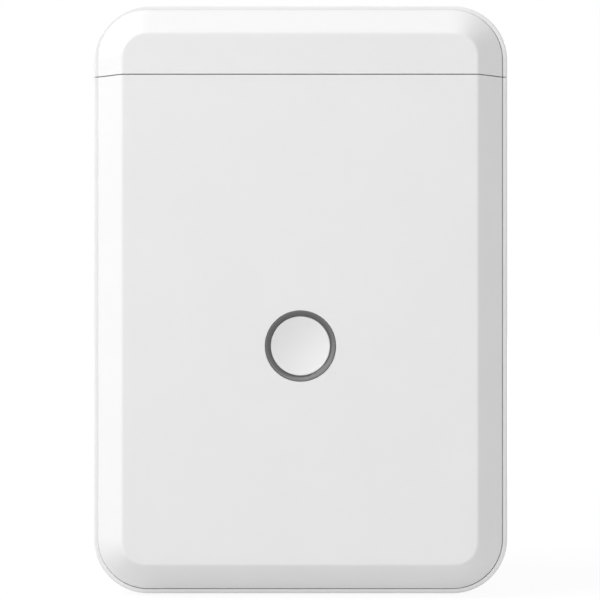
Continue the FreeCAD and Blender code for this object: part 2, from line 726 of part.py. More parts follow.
def lid_shell(tub):
    start = KNUCKLE_HALF - LID_GAP / 2
    clearance = HINGE_R + GAP
    cuts = []
    for x0, x1 in ((-BODY_W, -start), (start, BODY_W)):
        cuts.append(rod_x(HINGE_Y, SPLIT_Z, x0, x1, clearance))
        cuts.append(box(x0, x1, HINGE_Y, BACK_Y + WALL, SPLIT_Z, SPLIT_Z + clearance))
    lid = fused(above_split(tub).cut(cuts), hinge_barrel(-start, start), *lid_ribs())
    return lid.cut(rod_x(HINGE_Y, SPLIT_Z, -BODY_W, BODY_W, HINGE_PIN_R + RUN))


def hinge_pin():
    return rod_x(HINGE_Y, SPLIT_Z, -HINGE_PIN_HALF + FIT, HINGE_PIN_HALF - FIT, HINGE_PIN_R)


# Button

def light_ring():
    """A light pipe whose face slopes in to a soft edge round the button, with a flange behind the panel."""
    flange_y = PANEL_INNER_Y + RING_FLANGE_T
    profile = [(RING_IN_R, FRONT_Y + RING_RECESS_IN), (RING_OUT_R, FRONT_Y + RING_RECESS_OUT),
               (RING_OUT_R, PANEL_INNER_Y), (RING_FLANGE_R, PANEL_INNER_Y), (RING_FLANGE_R, flange_y),
               (RING_OUT_R, flange_y), (RING_OUT_R, RING_BACK_Y), (RING_IN_R, RING_BACK_Y)]
    ring = turned_y(profile, 0, BUTTON_Z)
    return ring.makeFillet(RING_EDGE_R, edges_at_y(ring, FRONT_Y + RING_RECESS_IN))


def button_cap():
    """A dished disc with a soft edge, on a skirt with a flange that keeps it behind the ring."""
    front = FRONT_Y + CAP_RECESS
    cap = rod_y(0, BUTTON_Z, front, CAP_BACK_Y, BUTTON_R)
    cap = cap.makeFillet(CAP_EDGE_R, edges_at_y(cap, front))
    dish_half = BUTTON_R - CAP_EDGE_R
    dish_r = (dish_half ** 2 + CAP_DISH ** 2) / (2 * CAP_DISH)
    cap = cap.cut(Part.makeSphere(dish_r, Vector(0, front + CAP_DISH - dish_r, BUTTON_Z)))
    return fused(cap, rod_y(0, BUTTON_Z, CAP_BACK_Y - CAP_FLANGE_T, CAP_BACK_Y, CAP_FLANGE_R))


def tact_switch():
    front = BOARD_FRONT_Y - SWITCH_H
    body = box(-SWITCH_HALF, SWITCH_HALF, front, BOARD_FRONT_Y,
               BUTTON_Z - SWITCH_HALF, BUTTON_Z + SWITCH_HALF)
    return body.cut(rod_y(0, BUTTON_Z, front, BOARD_FRONT_Y, PLUNGER_R + FIT))


def switch_plunger():
    return rod_y(0, BUTTON_Z, CAP_BACK_Y, BOARD_FRONT_Y - BUTTON_TRAVEL - FIT, PLUNGER_R)


# Main board

def main_board():
    board = box(-BOARD_HALF_W, BOARD_HALF_W, BOARD_FRONT_Y, BOARD_BACK_Y, BOARD_Z0, BOARD_Z1)
    return board.cut([rod_y(x, z, BOARD_FRONT_Y, BOARD_BACK_Y, SMALL_HOLE_R) for x, z in BOARD_SCREWS])


def board_screws():
    return solids(screw_y(x, z, BOARD_BACK_Y, BOARD_SCREW_L, SMALL_R, SMALL_HEAD_R, SMALL_HEAD_H)
                  for x, z in BOARD_SCREWS)


def board_place(column, row):
    """(x, z) on the main board's grid: columns from its middle, rows from its foot."""
    return column * COLUMN_PITCH, BOARD_Z0 + row * ROW_PITCH


def on_board(column, row, width, height, depth):
    """A flat component on the back of the main board, at a place of its grid."""
    x, z = board_place(column, row)
    back = BOARD_BACK_Y + depth
    return box(x - width / 2, x + width / 2, BOARD_BACK_Y, back, z - height / 2, z + height / 2)


def capacitor(column, row):
    x, z = board_place(column, row)
    return rod_y(x, z, BOARD_BACK_Y, BOARD_BACK_Y + CAN_H, CAN_R)


def board_parts():
    """Chips, plug sockets, chokes and round capacitors."""
    chips = [on_board(0, 1, CHIP_W, CHIP_W, CHIP_T)]
    chips += [on_board(column, row, SMALL_CHIP_W, SMALL_CHIP_W, CHIP_T) for column, row in ((-1, 1), (1, 2))]
    sockets = [on_board(column, 2, SOCKET_W, SOCKET_L, SOCKET_T) for column in (-2, 2)]
    sockets.append(on_board(0, 3, SOCKET_L, SOCKET_W, SOCKET_T))
    chokes = [on_board(column, 3, CHOKE_W, CHOKE_W, CHOKE_T) for column in (-1, 1)]
    return solids(chips + sockets + chokes + [capacitor(column, 1) for column in (1, 2)])


def radio_module():
    return on_board(-1, 2, RADIO_W, RADIO_L, RADIO_T)


def indicator_leds():
    """Four small lights on the board, behind the ring."""
    reach = (RING_OUT_R + RING_IN_R) / 2
    lights = []
    for quarter in range(4):
        turn = math.radians(45 + 90 * quarter)
        x = reach * math.cos(turn)
        z = BUTTON_Z + reach * math.sin(turn)
        lights.append(box(x - LED_W / 2, x + LED_W / 2, BOARD_FRONT_Y - LED_T, BOARD_FRONT_Y,
                          z - LED_H / 2, z + LED_H / 2))
    return solids(lights)


def power_inlet():
    """A barrel socket: a block on the board, a round nose through the wall and a centre pin."""
    deep = INNER_X - INLET_BLOCK_L
    mouth = BODY_W / 2 - INLET_RECESS
    block = box(deep, INNER_X, BOARD_BACK_Y, INLET_Y + INLET_AXIS,
                INLET_Z - INLET_BLOCK_HALF, INLET_Z + INLET_BLOCK_HALF)
    nose = rod_x(INLET_Y, INLET_Z, INNER_X - WALL, mouth, INLET_NOSE_R)
    bore = rod_x(INLET_Y, INLET_Z, deep + INLET_BACK_T, mouth + WALL, INLET_BORE_R)
    pin = rod_x(INLET_Y, INLET_Z, deep + INLET_BACK_T / 2, mouth - INLET_PIN_SINK, INLET_PIN_R)
    return fused(fused(block, nose).cut(bore), pin)


# Battery bay

def cell_places():
    """(x, y, whether the flat end is down) of each cell, along the chain that joins them in series."""
    columns = (-CELL_PITCH, 0.0, CELL_PITCH)
    chain = [(x, CELL_ROWS[0]) for x in columns] + [(x, CELL_ROWS[1]) for x in reversed(columns)]
    return [(x, y, number % 2 == 0) for number, (x, y) in enumerate(chain)]


def battery_box():
    wall = BATTERY_WALL
    open_y = INNER_BACK_Y - FIT
    outer = box(-BATTERY_HALF_W - wall, BATTERY_HALF_W + wall, BATTERY_FRONT_Y - wall, open_y,
                FLOOR_Z + FIT, BATTERY_Z1 + wall)
    inner = box(-BATTERY_HALF_W, BATTERY_HALF_W, BATTERY_FRONT_Y, open_y, BATTERY_Z0, BATTERY_Z1)
    half = BATTERY_RIB_T / 2
    ribs = [box(x - half, x + half, BATTERY_FRONT_Y, BATTERY_FRONT_Y + BATTERY_RIB_D,
                BATTERY_Z0 + BATTERY_RIB_INSET, BATTERY_Z1 - BATTERY_RIB_INSET)
            for x in (-CELL_PITCH / 2, CELL_PITCH / 2)]
    return fused(outer.cut(inner), *ribs)


def batteries():
    """Each cell has a body with soft ends and a nub; a turned cell has its nub down."""
    cells = []
    body_l = CELL_L - CELL_NUB_H
    for x, y, flat_down in cell_places():
        low = BATTERY_Z0 + CONTACT_T + FIT
        if flat_down:
            body_low = low + SPRING_H
            nub_low = body_low + body_l
        else:
            body_low = low + CELL_NUB_H
            nub_low = low
        body = rod_z(x, y, body_low, body_low + body_l, CELL_R)
        body = body.makeFillet(CELL_EDGE_R, [edge for edge in body.Edges if edge.Closed])
        cells.append(fused(body, rod_z(x, y, nub_low, nub_low + CELL_NUB_H, CELL_NUB_R)))
    return solids(cells)


def contact_plate(first, last, z):
    """A sheet contact that covers one cell's end, or joins two."""
    low_x = min(first[0], last[0]) - CONTACT_HALF
    high_x = max(first[0], last[0]) + CONTACT_HALF
    low_y = min(first[1], last[1]) - CONTACT_HALF
    high_y = max(first[1], last[1]) + CONTACT_HALF
    return box(low_x, high_x, low_y, high_y, z, z + CONTACT_T)


def battery_plates():
    """Plates join the cells in series, by turns above and below; the chain's two ends stay single."""
    cells = cell_places()
    low = BATTERY_Z0
    high = BATTERY_Z1 - CONTACT_T
    plates = [contact_plate(cells[0], cells[0], low), contact_plate(cells[-1], cells[-1], low)]
    for cell, following in zip(cells, cells[1:]):
        plates.append(contact_plate(cell, following, high if cell[2] else low))
    return solids(plates)


def arc_middle(start, way, end):
    """The middle point of the arc that leaves start along way and reaches end."""
    chord = end - start
    along = chord * (1 / chord.Length)
    turn = math.acos(max(-1.0, min(1.0, along.dot(way))))
    side = along * along.dot(way) - way
    side = side * (-1 / side.Length)
    return start + chord * 0.5 + side * (chord.Length / 2 * math.tan(turn / 2))


def biarc(start, start_way, end, end_way):
    """Two arcs that join two points with given directions, meeting smoothly between them."""
    span = end - start
    across = span.dot(start_way + end_way)
    spread = 2 * (1 - start_way.dot(end_way))
    reach = (-across + math.sqrt(across ** 2 + spread * span.dot(span))) / spread
    meet = (start + start_way * reach + end - end_way * reach) * 0.5
    return [Part.Arc(start, arc_middle(start, start_way, meet), meet).toShape(),
            Part.Arc(meet, arc_middle(end, end_way * -1, meet), end).toShape()]


def least_distance(path, radius):
    """The least distance between points of the path that lie over half a turn apart."""
    points = path.discretize(Number=160)
    turn = 2 * math.pi * radius / (path.Length / (len(points) - 1))
    skip = int(turn * 0.6)
    return min((points[i] - points[j]).Length
               for i in range(len(points)) for j in range(i + skip, len(points)))


def coil(name, radius, wire, pitch, turns):
    """A coil spring about Z that stands on height 0, as one tube along quarter-turn biarcs."""
    quarters = int(round(4 * turns))
    rise = pitch / (2 * math.pi)
    points = []
    ways = []
    for step in range(quarters + 1):
        turn = step * math.pi / 2
        points.append(Vector(radius * math.cos(turn), radius * math.sin(turn), rise * turn))
        way = Vector(-radius * math.sin(turn), radius * math.cos(turn), rise)
        ways.append(way * (1 / way.Length))
    edges = []
    for step in range(quarters):
        edges += biarc(points[step], ways[step], points[step + 1], ways[step + 1])
    path = Part.Wire(edges)
    tube = path.makePipeShell([Part.Wire(Part.makeCircle(wire / 2, points[0], ways[0]))], True, False)
    print(name, "least gap between turns", round(least_distance(path, radius) - wire, 3))
    tube.translate(Vector(0, 0, wire / 2))
    return tube


def battery_springs():
    one = coil("battery spring", SPRING_COIL_R, SPRING_WIRE, SPRING_PITCH, SPRING_TURNS)
    springs = []
    for x, y, flat_down in cell_places():
        low = BATTERY_Z0 + CONTACT_T if flat_down else BATTERY_Z1 - CONTACT_T - SPRING_H
        spring = one.copy()
        spring.translate(Vector(x, y, low + SPRING_PLAY))
        springs.append(spring)
    return solids(springs)


def door_axis():
    """(y, z) of the door's pins: the middle of its rounded lower edge."""
    return BACK_Y - WALL / 2, DOOR_Z0 + WALL / 2


def battery_door():
    y, z = door_axis()
    panel = box(-DOOR_HALF_W, DOOR_HALF_W, BACK_Y - WALL, BACK_Y, z, DOOR_Z1)
    edge = rod_x(y, z, -DOOR_HALF_W, DOOR_HALF_W, WALL / 2)
    reach = DOOR_HALF_W + DOOR_PIN_L - FIT
    pins = rod_x(y, z, -reach, reach, DOOR_PIN_R)
    grips = []
    for row in range(GRIPS):
        top = DOOR_Z1 - GRIP_TOP - row * GRIP_PITCH
        grips.append(box(-GRIP_HALF_W, GRIP_HALF_W, BACK_Y - GRIP_DEPTH, BACK_Y, top - GRIP_W, top))
    return fused(panel, edge, pins).cut(grips)


# Chassis and cassette

def cassette_block(grow, z0, z1):
    """The cassette's outline in plan, grown by an amount and drawn out along Z."""
    return plan_block(CASSETTE_X0 - grow, CASSETTE_X1 + grow, CASSETTE_Y0 - grow, CASSETTE_Y1 + grow,
                      z0, z1, CASSETTE_R + grow)


def bay_walls():
    walls = cassette_block(BAY_GAP + BAY_T, SHELF_Z1 - SINK_IN, BAY_TOP_Z)
    room = cassette_block(BAY_GAP, SHELF_Z1 - SINK_IN, BAY_TOP_Z)
    tape_way = box(CASSETTE_X0 - BAY_GAP - 2 * BAY_T, CASSETTE_X0 + BAY_T, TAPE_Y0 - TAPE_WAY,
                   TAPE_Y1 + TAPE_WAY, SHELF_Z1, BAY_TOP_Z)
    thumb = rod_y((CASSETTE_X0 + CASSETTE_X1) / 2, BAY_TOP_Z + THUMB_RISE, -REACH, REACH, THUMB_R)
    return walls.cut([room, tape_way, thumb])


def chassis():
    floor = box(-SHELF_X, SHELF_X, SHELF_Y0, SHELF_Y1, SHELF_Z0, SHELF_Z1)
    pillars = [rod_z(x, y, GEAR_PLATE_Z1, SHELF_Z0, PILLAR_R) for x, y in gear_pillars()]
    idler_post = rod_z(IDLER.x, IDLER.y, HIGH_GEAR_Z0 - PINION_SPARE, SHELF_Z0, POST_R)
    spring_post = box(PLATEN.x - SPRING_POST_HALF, PLATEN.x + SPRING_POST_HALF, SPRING_POST_Y,
                      SPRING_POST_Y + SPRING_POST_T, SHELF_Z1 - SINK_IN, TAPE_MID_Z + SPRING_POST_RISE)
    frame = fused(floor, bay_walls(), idler_post, spring_post, *pillars)
    cutter_slot = box(FRAME_X0 - GAP, FIXED_BLADE_X + GAP, CUT_Y - SLOT_FRONT, CUT_Y + SLOT_BACK,
                      SHELF_Z0, SHELF_Z1)
    holes = [hole_z(PLATEN, SPINDLE_R + RUN), hole_z(TAKE_UP, RIBBON_SPINDLE_R + RUN),
             hole_z(HEAD_PIVOT, HEAD_PIVOT_R + PRESS)]
    holes += [rod_z(x, y, GEAR_PLATE_Z1, GEAR_PLATE_Z1 + PLATE_SCREW_L, SMALL_R + RUN)
              for x, y in gear_pillars()]
    holes += [hole_z(place, SMALL_HOLE_R) for place in CHASSIS_SCREWS]
    holes += [hole_z(place, SMALL_R + RUN) for place in CUTTER_SCREWS]
    return frame.cut(holes + [cutter_slot])


def chassis_screws():
    return solids(screw_z(x, y, SHELF_Z1, CHASSIS_SCREW_L) for x, y in CHASSIS_SCREWS)


def window(z0, z1, margin):
    return box(WINDOW_X0 - margin, WINDOW_X1 + margin, WINDOW_Y0 - margin, WINDOW_Y1 + margin, z0, z1)


def cassette_base():
    """The tub of the cassette: outer wall, window wall and the posts of its spools."""
    tub = cassette_block(0, CASSETTE_Z0, COVER_Z0)
    tub = tub.cut(cassette_block(-CASSETTE_T, CASSETTE_FLOOR_Z, COVER_Z0))
    frame = window(CASSETTE_Z0, COVER_Z0, WINDOW_WALL)
    roll_post = rod_z(ROLL.x, ROLL.y, CASSETTE_Z0, COVER_Z0 - POST_DROP, ROLL_POST_R)
    supply_post = rod_z(SUPPLY.x, SUPPLY.y, CASSETTE_Z0, COVER_Z0 - POST_DROP, SUPPLY_POST_R)
    tape_room = box(CASSETTE_X0 - CASSETTE_T, WINDOW_X1 + 2 * WINDOW_WALL, TAPE_Y0 - TAPE_ROOM,
                    TAPE_Y1 + TAPE_ROOM, CASSETTE_Z0 + EXIT_RISE, COVER_Z0)
    nip = box(HEAD_X0 - GAP, HEAD_X1 + GAP, WINDOW_Y0 - 2 * WINDOW_WALL, TAPE_Y1, HEAD_Z0 - GAP, COVER_Z0)
    holes = [rod_z(place.x, place.y, CASSETTE_Z0, CASSETTE_FLOOR_Z, radius + SPOOL_ROOM)
             for place, radius in ((PLATEN, SPINDLE_R), (TAKE_UP, RIBBON_SPINDLE_R))]
    cuts = [window(CASSETTE_Z0, COVER_Z0, 0), tape_room, nip] + holes
    return fused(tub, frame, roll_post, supply_post).cut(cuts)


def cassette_cover():
    """The flat top of the cassette with its window and a slot that shows the tape left."""
    plate = cassette_block(0, COVER_Z0, CASSETTE_Z1).cut(window(COVER_Z0, CASSETTE_Z1, 0))
    view = plan_block(ROLL.x, ROLL.x + ROLL_R, ROLL.y - VIEW_HALF_W, ROLL.y + VIEW_HALF_W,
                      COVER_Z0, CASSETTE_Z1, VIEW_R)
    return plate.cut(view)


def tape_roll():
    return tube_z(ROLL, TAPE_Z0, TAPE_Z1, ROLL_R, ROLL_CORE_R + PRESS)


def tape_core():
    return tube_z(ROLL, CASSETTE_FLOOR_Z + SPOOL_LIFT, COVER_Z0 - GAP, ROLL_CORE_R, ROLL_POST_R + RUN)


def tape_leader():
    """The strip from the roll's side, round the window's corner, to just short of the cutter."""
    corner = Vector(WINDOW_X1 + 2 * WINDOW_WALL, TAPE_Y0, 0)
    to_roll = ROLL - corner
    reach = ROLL_R + TAPE_T
    turn = math.atan2(to_roll.y, to_roll.x) - math.asin(reach / to_roll.Length)
    way = Vector(math.cos(turn), math.sin(turn), 0)
    tip = corner + way * math.sqrt(to_roll.Length ** 2 - reach ** 2)
    thick = Vector(way.y, -way.x, 0) * TAPE_T
    outline = [Vector(TAPE_END_X, TAPE_Y0, 0), corner, tip + thick, tip,
               corner + Vector(0, TAPE_T, 0), Vector(TAPE_END_X, TAPE_Y1, 0)]
    return drawn([point + Vector(0, 0, TAPE_Z0) for point in outline], Vector(0, 0, TAPE_W))


def ribbon_supply():
    return tube_z(SUPPLY, CASSETTE_FLOOR_Z + SPOOL_LIFT, TAPE_Z1, SUPPLY_R, SUPPLY_POST_R + RUN)


def ribbon_take_up():
    return tube_z(TAKE_UP, CASSETTE_FLOOR_Z + SPOOL_LIFT, TAPE_Z1, TAKE_UP_R, RIBBON_SPINDLE_R + PRESS)


def platen_core():
    return tube_z(PLATEN, CASSETTE_FLOOR_Z + SPOOL_LIFT, COVER_Z0 - GAP, PLATEN_CORE_R, SPINDLE_R + PRESS)


def platen_roller():
    return tube_z(PLATEN, TAPE_MID_Z - PLATEN_HALF_L, TAPE_MID_Z + PLATEN_HALF_L,
                  PLATEN_R, PLATEN_CORE_R + PRESS)


# Print head

def print_head():
    """A ceramic tile, stepped down where its contacts lie."""
    tile = box(HEAD_X0 + HEAD_INSET, HEAD_X1 - HEAD_INSET, HEAD_Y, HEAD_Y + HEAD_T,
               HEAD_Z0 + HEAD_INSET / 2, HEAD_Z1 - HEAD_INSET / 2)
    step = box(HEAD_X1 - 3 * HEAD_INSET, HEAD_X1, HEAD_Y, HEAD_Y + HEAD_T / 4, HEAD_Z0, HEAD_Z1)
    return tile.cut(step)


def heat_sink():
    y0 = HEAD_Y + HEAD_T
    sink = box(HEAD_X0, HEAD_X1, y0, y0 + SINK_T, HEAD_Z0, HEAD_Z1)
    gaps = []
    for fin in range(1, int(HEAD_H / FIN_PITCH)):
        z = HEAD_Z0 + fin * FIN_PITCH
        gaps.append(box(HEAD_X0, HEAD_X0 + FIN_DEPTH, y0, y0 + SINK_T, z - FIN_W / 2, z + FIN_W / 2))
    return sink.cut(gaps)


def head_arm():
    """A plate behind the heat sink with two lugs on the pivot."""
    y0 = ARM_BACK_Y - ARM_T
    end_x = HEAD_PIVOT.x - HEAD_PIVOT_R
    plate = box(HEAD_X0, end_x, y0, ARM_BACK_Y, HEAD_Z0, HEAD_Z1)
    relief = box(end_x - ARM_LUG_R, end_x, y0, ARM_BACK_Y, HEAD_Z0 + ARM_LUG_L, HEAD_Z1 - ARM_LUG_L)
    lows = (HEAD_Z0, HEAD_Z1 - ARM_LUG_L)
    lugs = [rod_z(HEAD_PIVOT.x, HEAD_PIVOT.y, z, z + ARM_LUG_L, ARM_LUG_R) for z in lows]
    return fused(plate.cut(relief), *lugs).cut(hole_z(HEAD_PIVOT, HEAD_PIVOT_R + RUN))


def head_pivot():
    return rod_z(HEAD_PIVOT.x, HEAD_PIVOT.y, SHELF_Z0, HEAD_Z1 + WINDOW_ROOM, HEAD_PIVOT_R)


def head_spring():
    spring = coil("head spring", HEAD_SPRING_R, HEAD_SPRING_WIRE, HEAD_SPRING_PITCH, HEAD_SPRING_TURNS)
    spring.rotate(Vector(0, 0, 0), Vector(1, 0, 0), -90)
    spring.translate(Vector(PLATEN.x, ARM_BACK_Y + HEAD_SPRING_PLAY, TAPE_MID_Z))
    return spring


# Gears

def idler_place():
    """The idler touches both the platen's and the ribbon's gear."""
    to_platen = MODULE * (PLATEN_TEETH + IDLER_TEETH) / 2
    to_ribbon = MODULE * (RIBBON_TEETH + IDLER_TEETH) / 2
    line = TAKE_UP - PLATEN
    along = (to_platen ** 2 - to_ribbon ** 2 + line.Length ** 2) / (2 * line.Length)
    aside = math.sqrt(to_platen ** 2 - along ** 2)
    way = line * (1 / line.Length)
    return PLATEN + way * along + Vector(way.y, -way.x, 0) * aside


def involute(angle):
    return math.tan(angle) - angle


def tooth_half_angle(teeth, radius):
    """Half of a tooth's angle at a radius, on an involute flank, and thinner below its base circle."""
    base_r = MODULE * teeth / 2 * math.cos(PRESSURE_ANGLE)
    half = TOOTH_FILL * math.pi / (2 * teeth) + involute(PRESSURE_ANGLE)
    if radius <= base_r:
        return half * (0.62 + 0.38 * max(0.0, 1 - (base_r - radius) / MODULE))
    return half - involute(math.acos(base_r / radius))


def tooth_outline(teeth, middle):
    """(radius, angle) along one tooth, from root to tip and back."""
    pitch_r = MODULE * teeth / 2
    root = pitch_r - DEDENDUM * MODULE
    tip = pitch_r + ADDENDUM * MODULE
    base = max(pitch_r * math.cos(PRESSURE_ANGLE), root + PRESS)
    radii = [root, base, (base + tip) / 2, tip]
    rising = [(r, middle - tooth_half_angle(teeth, r)) for r in radii]
    falling = [(r, middle + tooth_half_angle(teeth, r)) for r in reversed(radii)]
    return rising + falling


def gear_points(teeth, phase):
    step = 2 * math.pi / teeth
    outline = []
    for tooth in range(teeth):
        outline += tooth_outline(teeth, phase + tooth * step)
    return [(r * math.cos(a), r * math.sin(a)) for r, a in outline]


def gear_z(place, teeth, phase, z0, z1):
    points = [Vector(place.x + u, place.y + v, z0) for u, v in gear_points(teeth, phase)]
    return drawn(points, Vector(0, 0, z1 - z0))


def gear_x(z, teeth, phase, x0, x1):
    """A cutter gear about an axis along X; its angles run from +Y to +Z."""
    points = [Vector(x0, CUT_Y + u, z + v) for u, v in gear_points(teeth, phase)]
    return drawn(points, Vector(x1 - x0, 0, 0))


def heading(a, b):
    return math.atan2(b.y - a.y, b.x - a.x)


def mesh_phase(phase, teeth, way, other_teeth):
    """The phase of a gear that lies in direction way from one with the given phase, so that they mesh."""
    offset = (phase - way) * MODULE * teeth / 2
    return way + math.pi - (offset + math.pi * MODULE / 2) / (MODULE * other_teeth / 2)


IDLER = idler_place()
REDUCTION = IDLER + Vector(MODULE * (IDLER_TEETH + REDUCTION_PINION_TEETH) / 2, 0, 0)
MOTOR = REDUCTION + Vector(MODULE * (REDUCTION_TEETH + MOTOR_TEETH) / 2, 0, 0)
IDLER_PHASE = 0.0
PLATEN_PHASE = mesh_phase(IDLER_PHASE, IDLER_TEETH, heading(IDLER, PLATEN), PLATEN_TEETH)
RIBBON_PHASE = mesh_phase(IDLER_PHASE, IDLER_TEETH, heading(IDLER, TAKE_UP), RIBBON_TEETH)
PINION_PHASE = mesh_phase(IDLER_PHASE, IDLER_TEETH, heading(IDLER, REDUCTION), REDUCTION_PINION_TEETH)
MOTOR_PHASE = mesh_phase(0.0, REDUCTION_TEETH, heading(REDUCTION, MOTOR), MOTOR_TEETH)
GEAR_PLATE_X0 = WINDOW_X0 - PILLAR_INSET
GEAR_PLATE_X1 = MOTOR.x + MOTOR_EAR_REACH
GEAR_PLATE_Y0 = SHELF_Y0 + CASSETTE_FRONT
GEAR_PLATE_Y1 = TAKE_UP.y + 2 * TAKE_UP_R


def gear_pillars():
    """(x, y) of the pillars between the chassis floor and the gear plate, clear of the wheels."""
    right = GEAR_PLATE_X1 - PILLAR_INSET
    front = GEAR_PLATE_Y0 + PILLAR_INSET
    back = GEAR_PLATE_Y1 - PILLAR_INSET
    return [(GEAR_PLATE_X0 + PILLAR_INSET, (PLATEN.y + TAKE_UP.y) / 2), (REDUCTION.x, back),
            (right, back), (right, front)]


def spindle_gear(place, teeth, phase, radius):
    """A gear with a hub between plate and floor, on a spindle that reaches up into the cassette."""
    gear = gear_z(place, teeth, phase, HIGH_GEAR_Z0, HIGH_GEAR_Z1)
    hub = rod_z(place.x, place.y, GEAR_LOW, GEAR_HIGH, radius + HUB_T)
    spindle = rod_z(place.x, place.y, GEAR_PLATE_Z0, COVER_Z0 - SPINDLE_DROP, radius)
    return fused(gear, hub, spindle)


def platen_gear():
    return spindle_gear(PLATEN, PLATEN_TEETH, PLATEN_PHASE, SPINDLE_R)


def ribbon_gear():
    return spindle_gear(TAKE_UP, RIBBON_TEETH, RIBBON_PHASE, RIBBON_SPINDLE_R)


def idler_gear():
    gear = gear_z(IDLER, IDLER_TEETH, IDLER_PHASE, HIGH_GEAR_Z0, HIGH_GEAR_Z1)
    hub = rod_z(IDLER.x, IDLER.y, HIGH_GEAR_Z1 - SINK_IN, GEAR_HIGH, IDLER_HUB_R)
    return fused(gear, hub).cut(hole_z(IDLER, POST_R + RUN))


def reduction_gear():
    """A large wheel with a thinned web, and a pinion on top."""
    wheel = gear_z(REDUCTION, REDUCTION_TEETH, 0.0, LOW_GEAR_Z0, LOW_GEAR_Z1)
    web = tube_z(REDUCTION, LOW_GEAR_Z1 - WEB_DEPTH, LOW_GEAR_Z1, WEB_OUT_R, WEB_IN_R)
    pinion = gear_z(REDUCTION, REDUCTION_PINION_TEETH, PINION_PHASE, LOW_GEAR_Z1 - SINK_IN, HIGH_GEAR_Z1)
    hub = rod_z(REDUCTION.x, REDUCTION.y, GEAR_LOW, GEAR_HIGH, POST_R + HUB_T)
    return fused(wheel.cut(web), pinion, hub).cut(hole_z(REDUCTION, POST_R + RUN))


def gear_plate():
    plate = plan_block(GEAR_PLATE_X0, GEAR_PLATE_X1, GEAR_PLATE_Y0, GEAR_PLATE_Y1,
                       GEAR_PLATE_Z0, GEAR_PLATE_Z1, GEAR_PLATE_R)
    holes = [hole_z(PLATEN, SPINDLE_R + RUN), hole_z(TAKE_UP, RIBBON_SPINDLE_R + RUN),
             hole_z(REDUCTION, POST_R + PRESS), hole_z(MOTOR, MOTOR_BOSS_R)]
    holes += [hole_z(place, SMALL_HOLE_R) for place in gear_pillars()]
    return plate.cut(holes)


def gear_post():
    return rod_z(REDUCTION.x, REDUCTION.y, GEAR_PLATE_Z0, SHELF_Z0 - PRESS, POST_R)


def gear_plate_screws():
    return solids(screw_z(x, y, GEAR_PLATE_Z0, PLATE_SCREW_L, up=-1) for x, y in gear_pillars())


def feed_motor():
    """A round motor with two ears, its face against the gear plate."""
    can = rod_z(MOTOR.x, MOTOR.y, MOTOR_Z0, GEAR_PLATE_Z0, MOTOR_R)
    ears = plan_block(MOTOR.x - MOTOR_EAR_REACH, MOTOR.x + MOTOR_EAR_REACH, MOTOR.y - MOTOR_EAR_HALF,
                      MOTOR.y + MOTOR_EAR_HALF, GEAR_PLATE_Z0 - MOTOR_EAR_T, GEAR_PLATE_Z0,
                      MOTOR_EAR_HALF - FIT)
    bore = rod_z(MOTOR.x, MOTOR.y, MOTOR_Z0 + MOTOR_FLOOR_T, GEAR_PLATE_Z0, MOTOR_SHAFT_R + RUN)
    return fused(can, ears).cut(bore)


def motor_shaft():
    return rod_z(MOTOR.x, MOTOR.y, MOTOR_Z0 + MOTOR_FLOOR_T + FIT, LOW_GEAR_Z1 + GEAR_GAP, MOTOR_SHAFT_R)


def motor_pinion():
    gear = gear_z(MOTOR, MOTOR_TEETH, MOTOR_PHASE, LOW_GEAR_Z0 - PINION_SPARE, LOW_GEAR_Z1 + PINION_SPARE)
    return gear.cut(hole_z(MOTOR, MOTOR_SHAFT_R + PRESS))


# Cutter

DOWN = -math.pi / 2
CUTTER_PINION_PHASE = mesh_phase(DOWN, SECTOR_TEETH, DOWN, CUTTER_PINION_TEETH)
CUTTER_MOTOR_PHASE = mesh_phase(DOWN, CUTTER_GEAR_TEETH, DOWN, CUTTER_PINION_TEETH)


def hole_x(z, radius):
    """A round hole through the cutter, across its blades."""
    return rod_x(CUT_Y, z, -REACH, REACH, radius)


def cutter_frame():
    """An upright steel plate with a flange on the chassis floor."""
    front = CUT_Y - FRAME_HALF
    flange_z = SHELF_Z1 + FRAME_T
    low = CUTTER_MOTOR_Z - CUTTER_MOTOR_R - FRAME_T
    plate = box(FRAME_X0, FRAME_X1, front, CUT_Y + FRAME_HALF, low, SHELF_Z1 + FRAME_RISE)
    neck = box(FRAME_X0, FRAME_X1, front, CUT_Y + FRAME_BACK, SHELF_Z0 - FRAME_NECK, flange_z)
    flange = box(FLANGE_X0, FRAME_X1, front, CUT_Y + FRAME_BACK, SHELF_Z1, flange_z)
    holes = [hole_x(CUT_PIVOT_Z, CUT_PIVOT_R + PRESS), hole_x(CUTTER_GEAR_Z, CUTTER_SHAFT_R + RUN),
             hole_x(CUTTER_MOTOR_Z, CUTTER_MOTOR_HOLE_R)]
    holes += [hole_z(place, SMALL_HOLE_R) for place in CUTTER_SCREWS]
    return fused(plate, neck, flange).cut(holes)


def cutter_screws():
    return solids(screw_z(x, y, SHELF_Z1 + FRAME_T, CUTTER_SCREW_L) for x, y in CUTTER_SCREWS)


def ground_edge(x_tip, x_back, side, z0):
    """The wedge that grinding takes off a blade's edge, on the given side of the cut."""
    outline = [(x_tip, CUT_Y + side * BLADE_EDGE), (x_tip, CUT_Y), (x_back, CUT_Y)]
    return drawn([Vector(x, y, z0) for x, y in outline], Vector(0, 0, REACH))


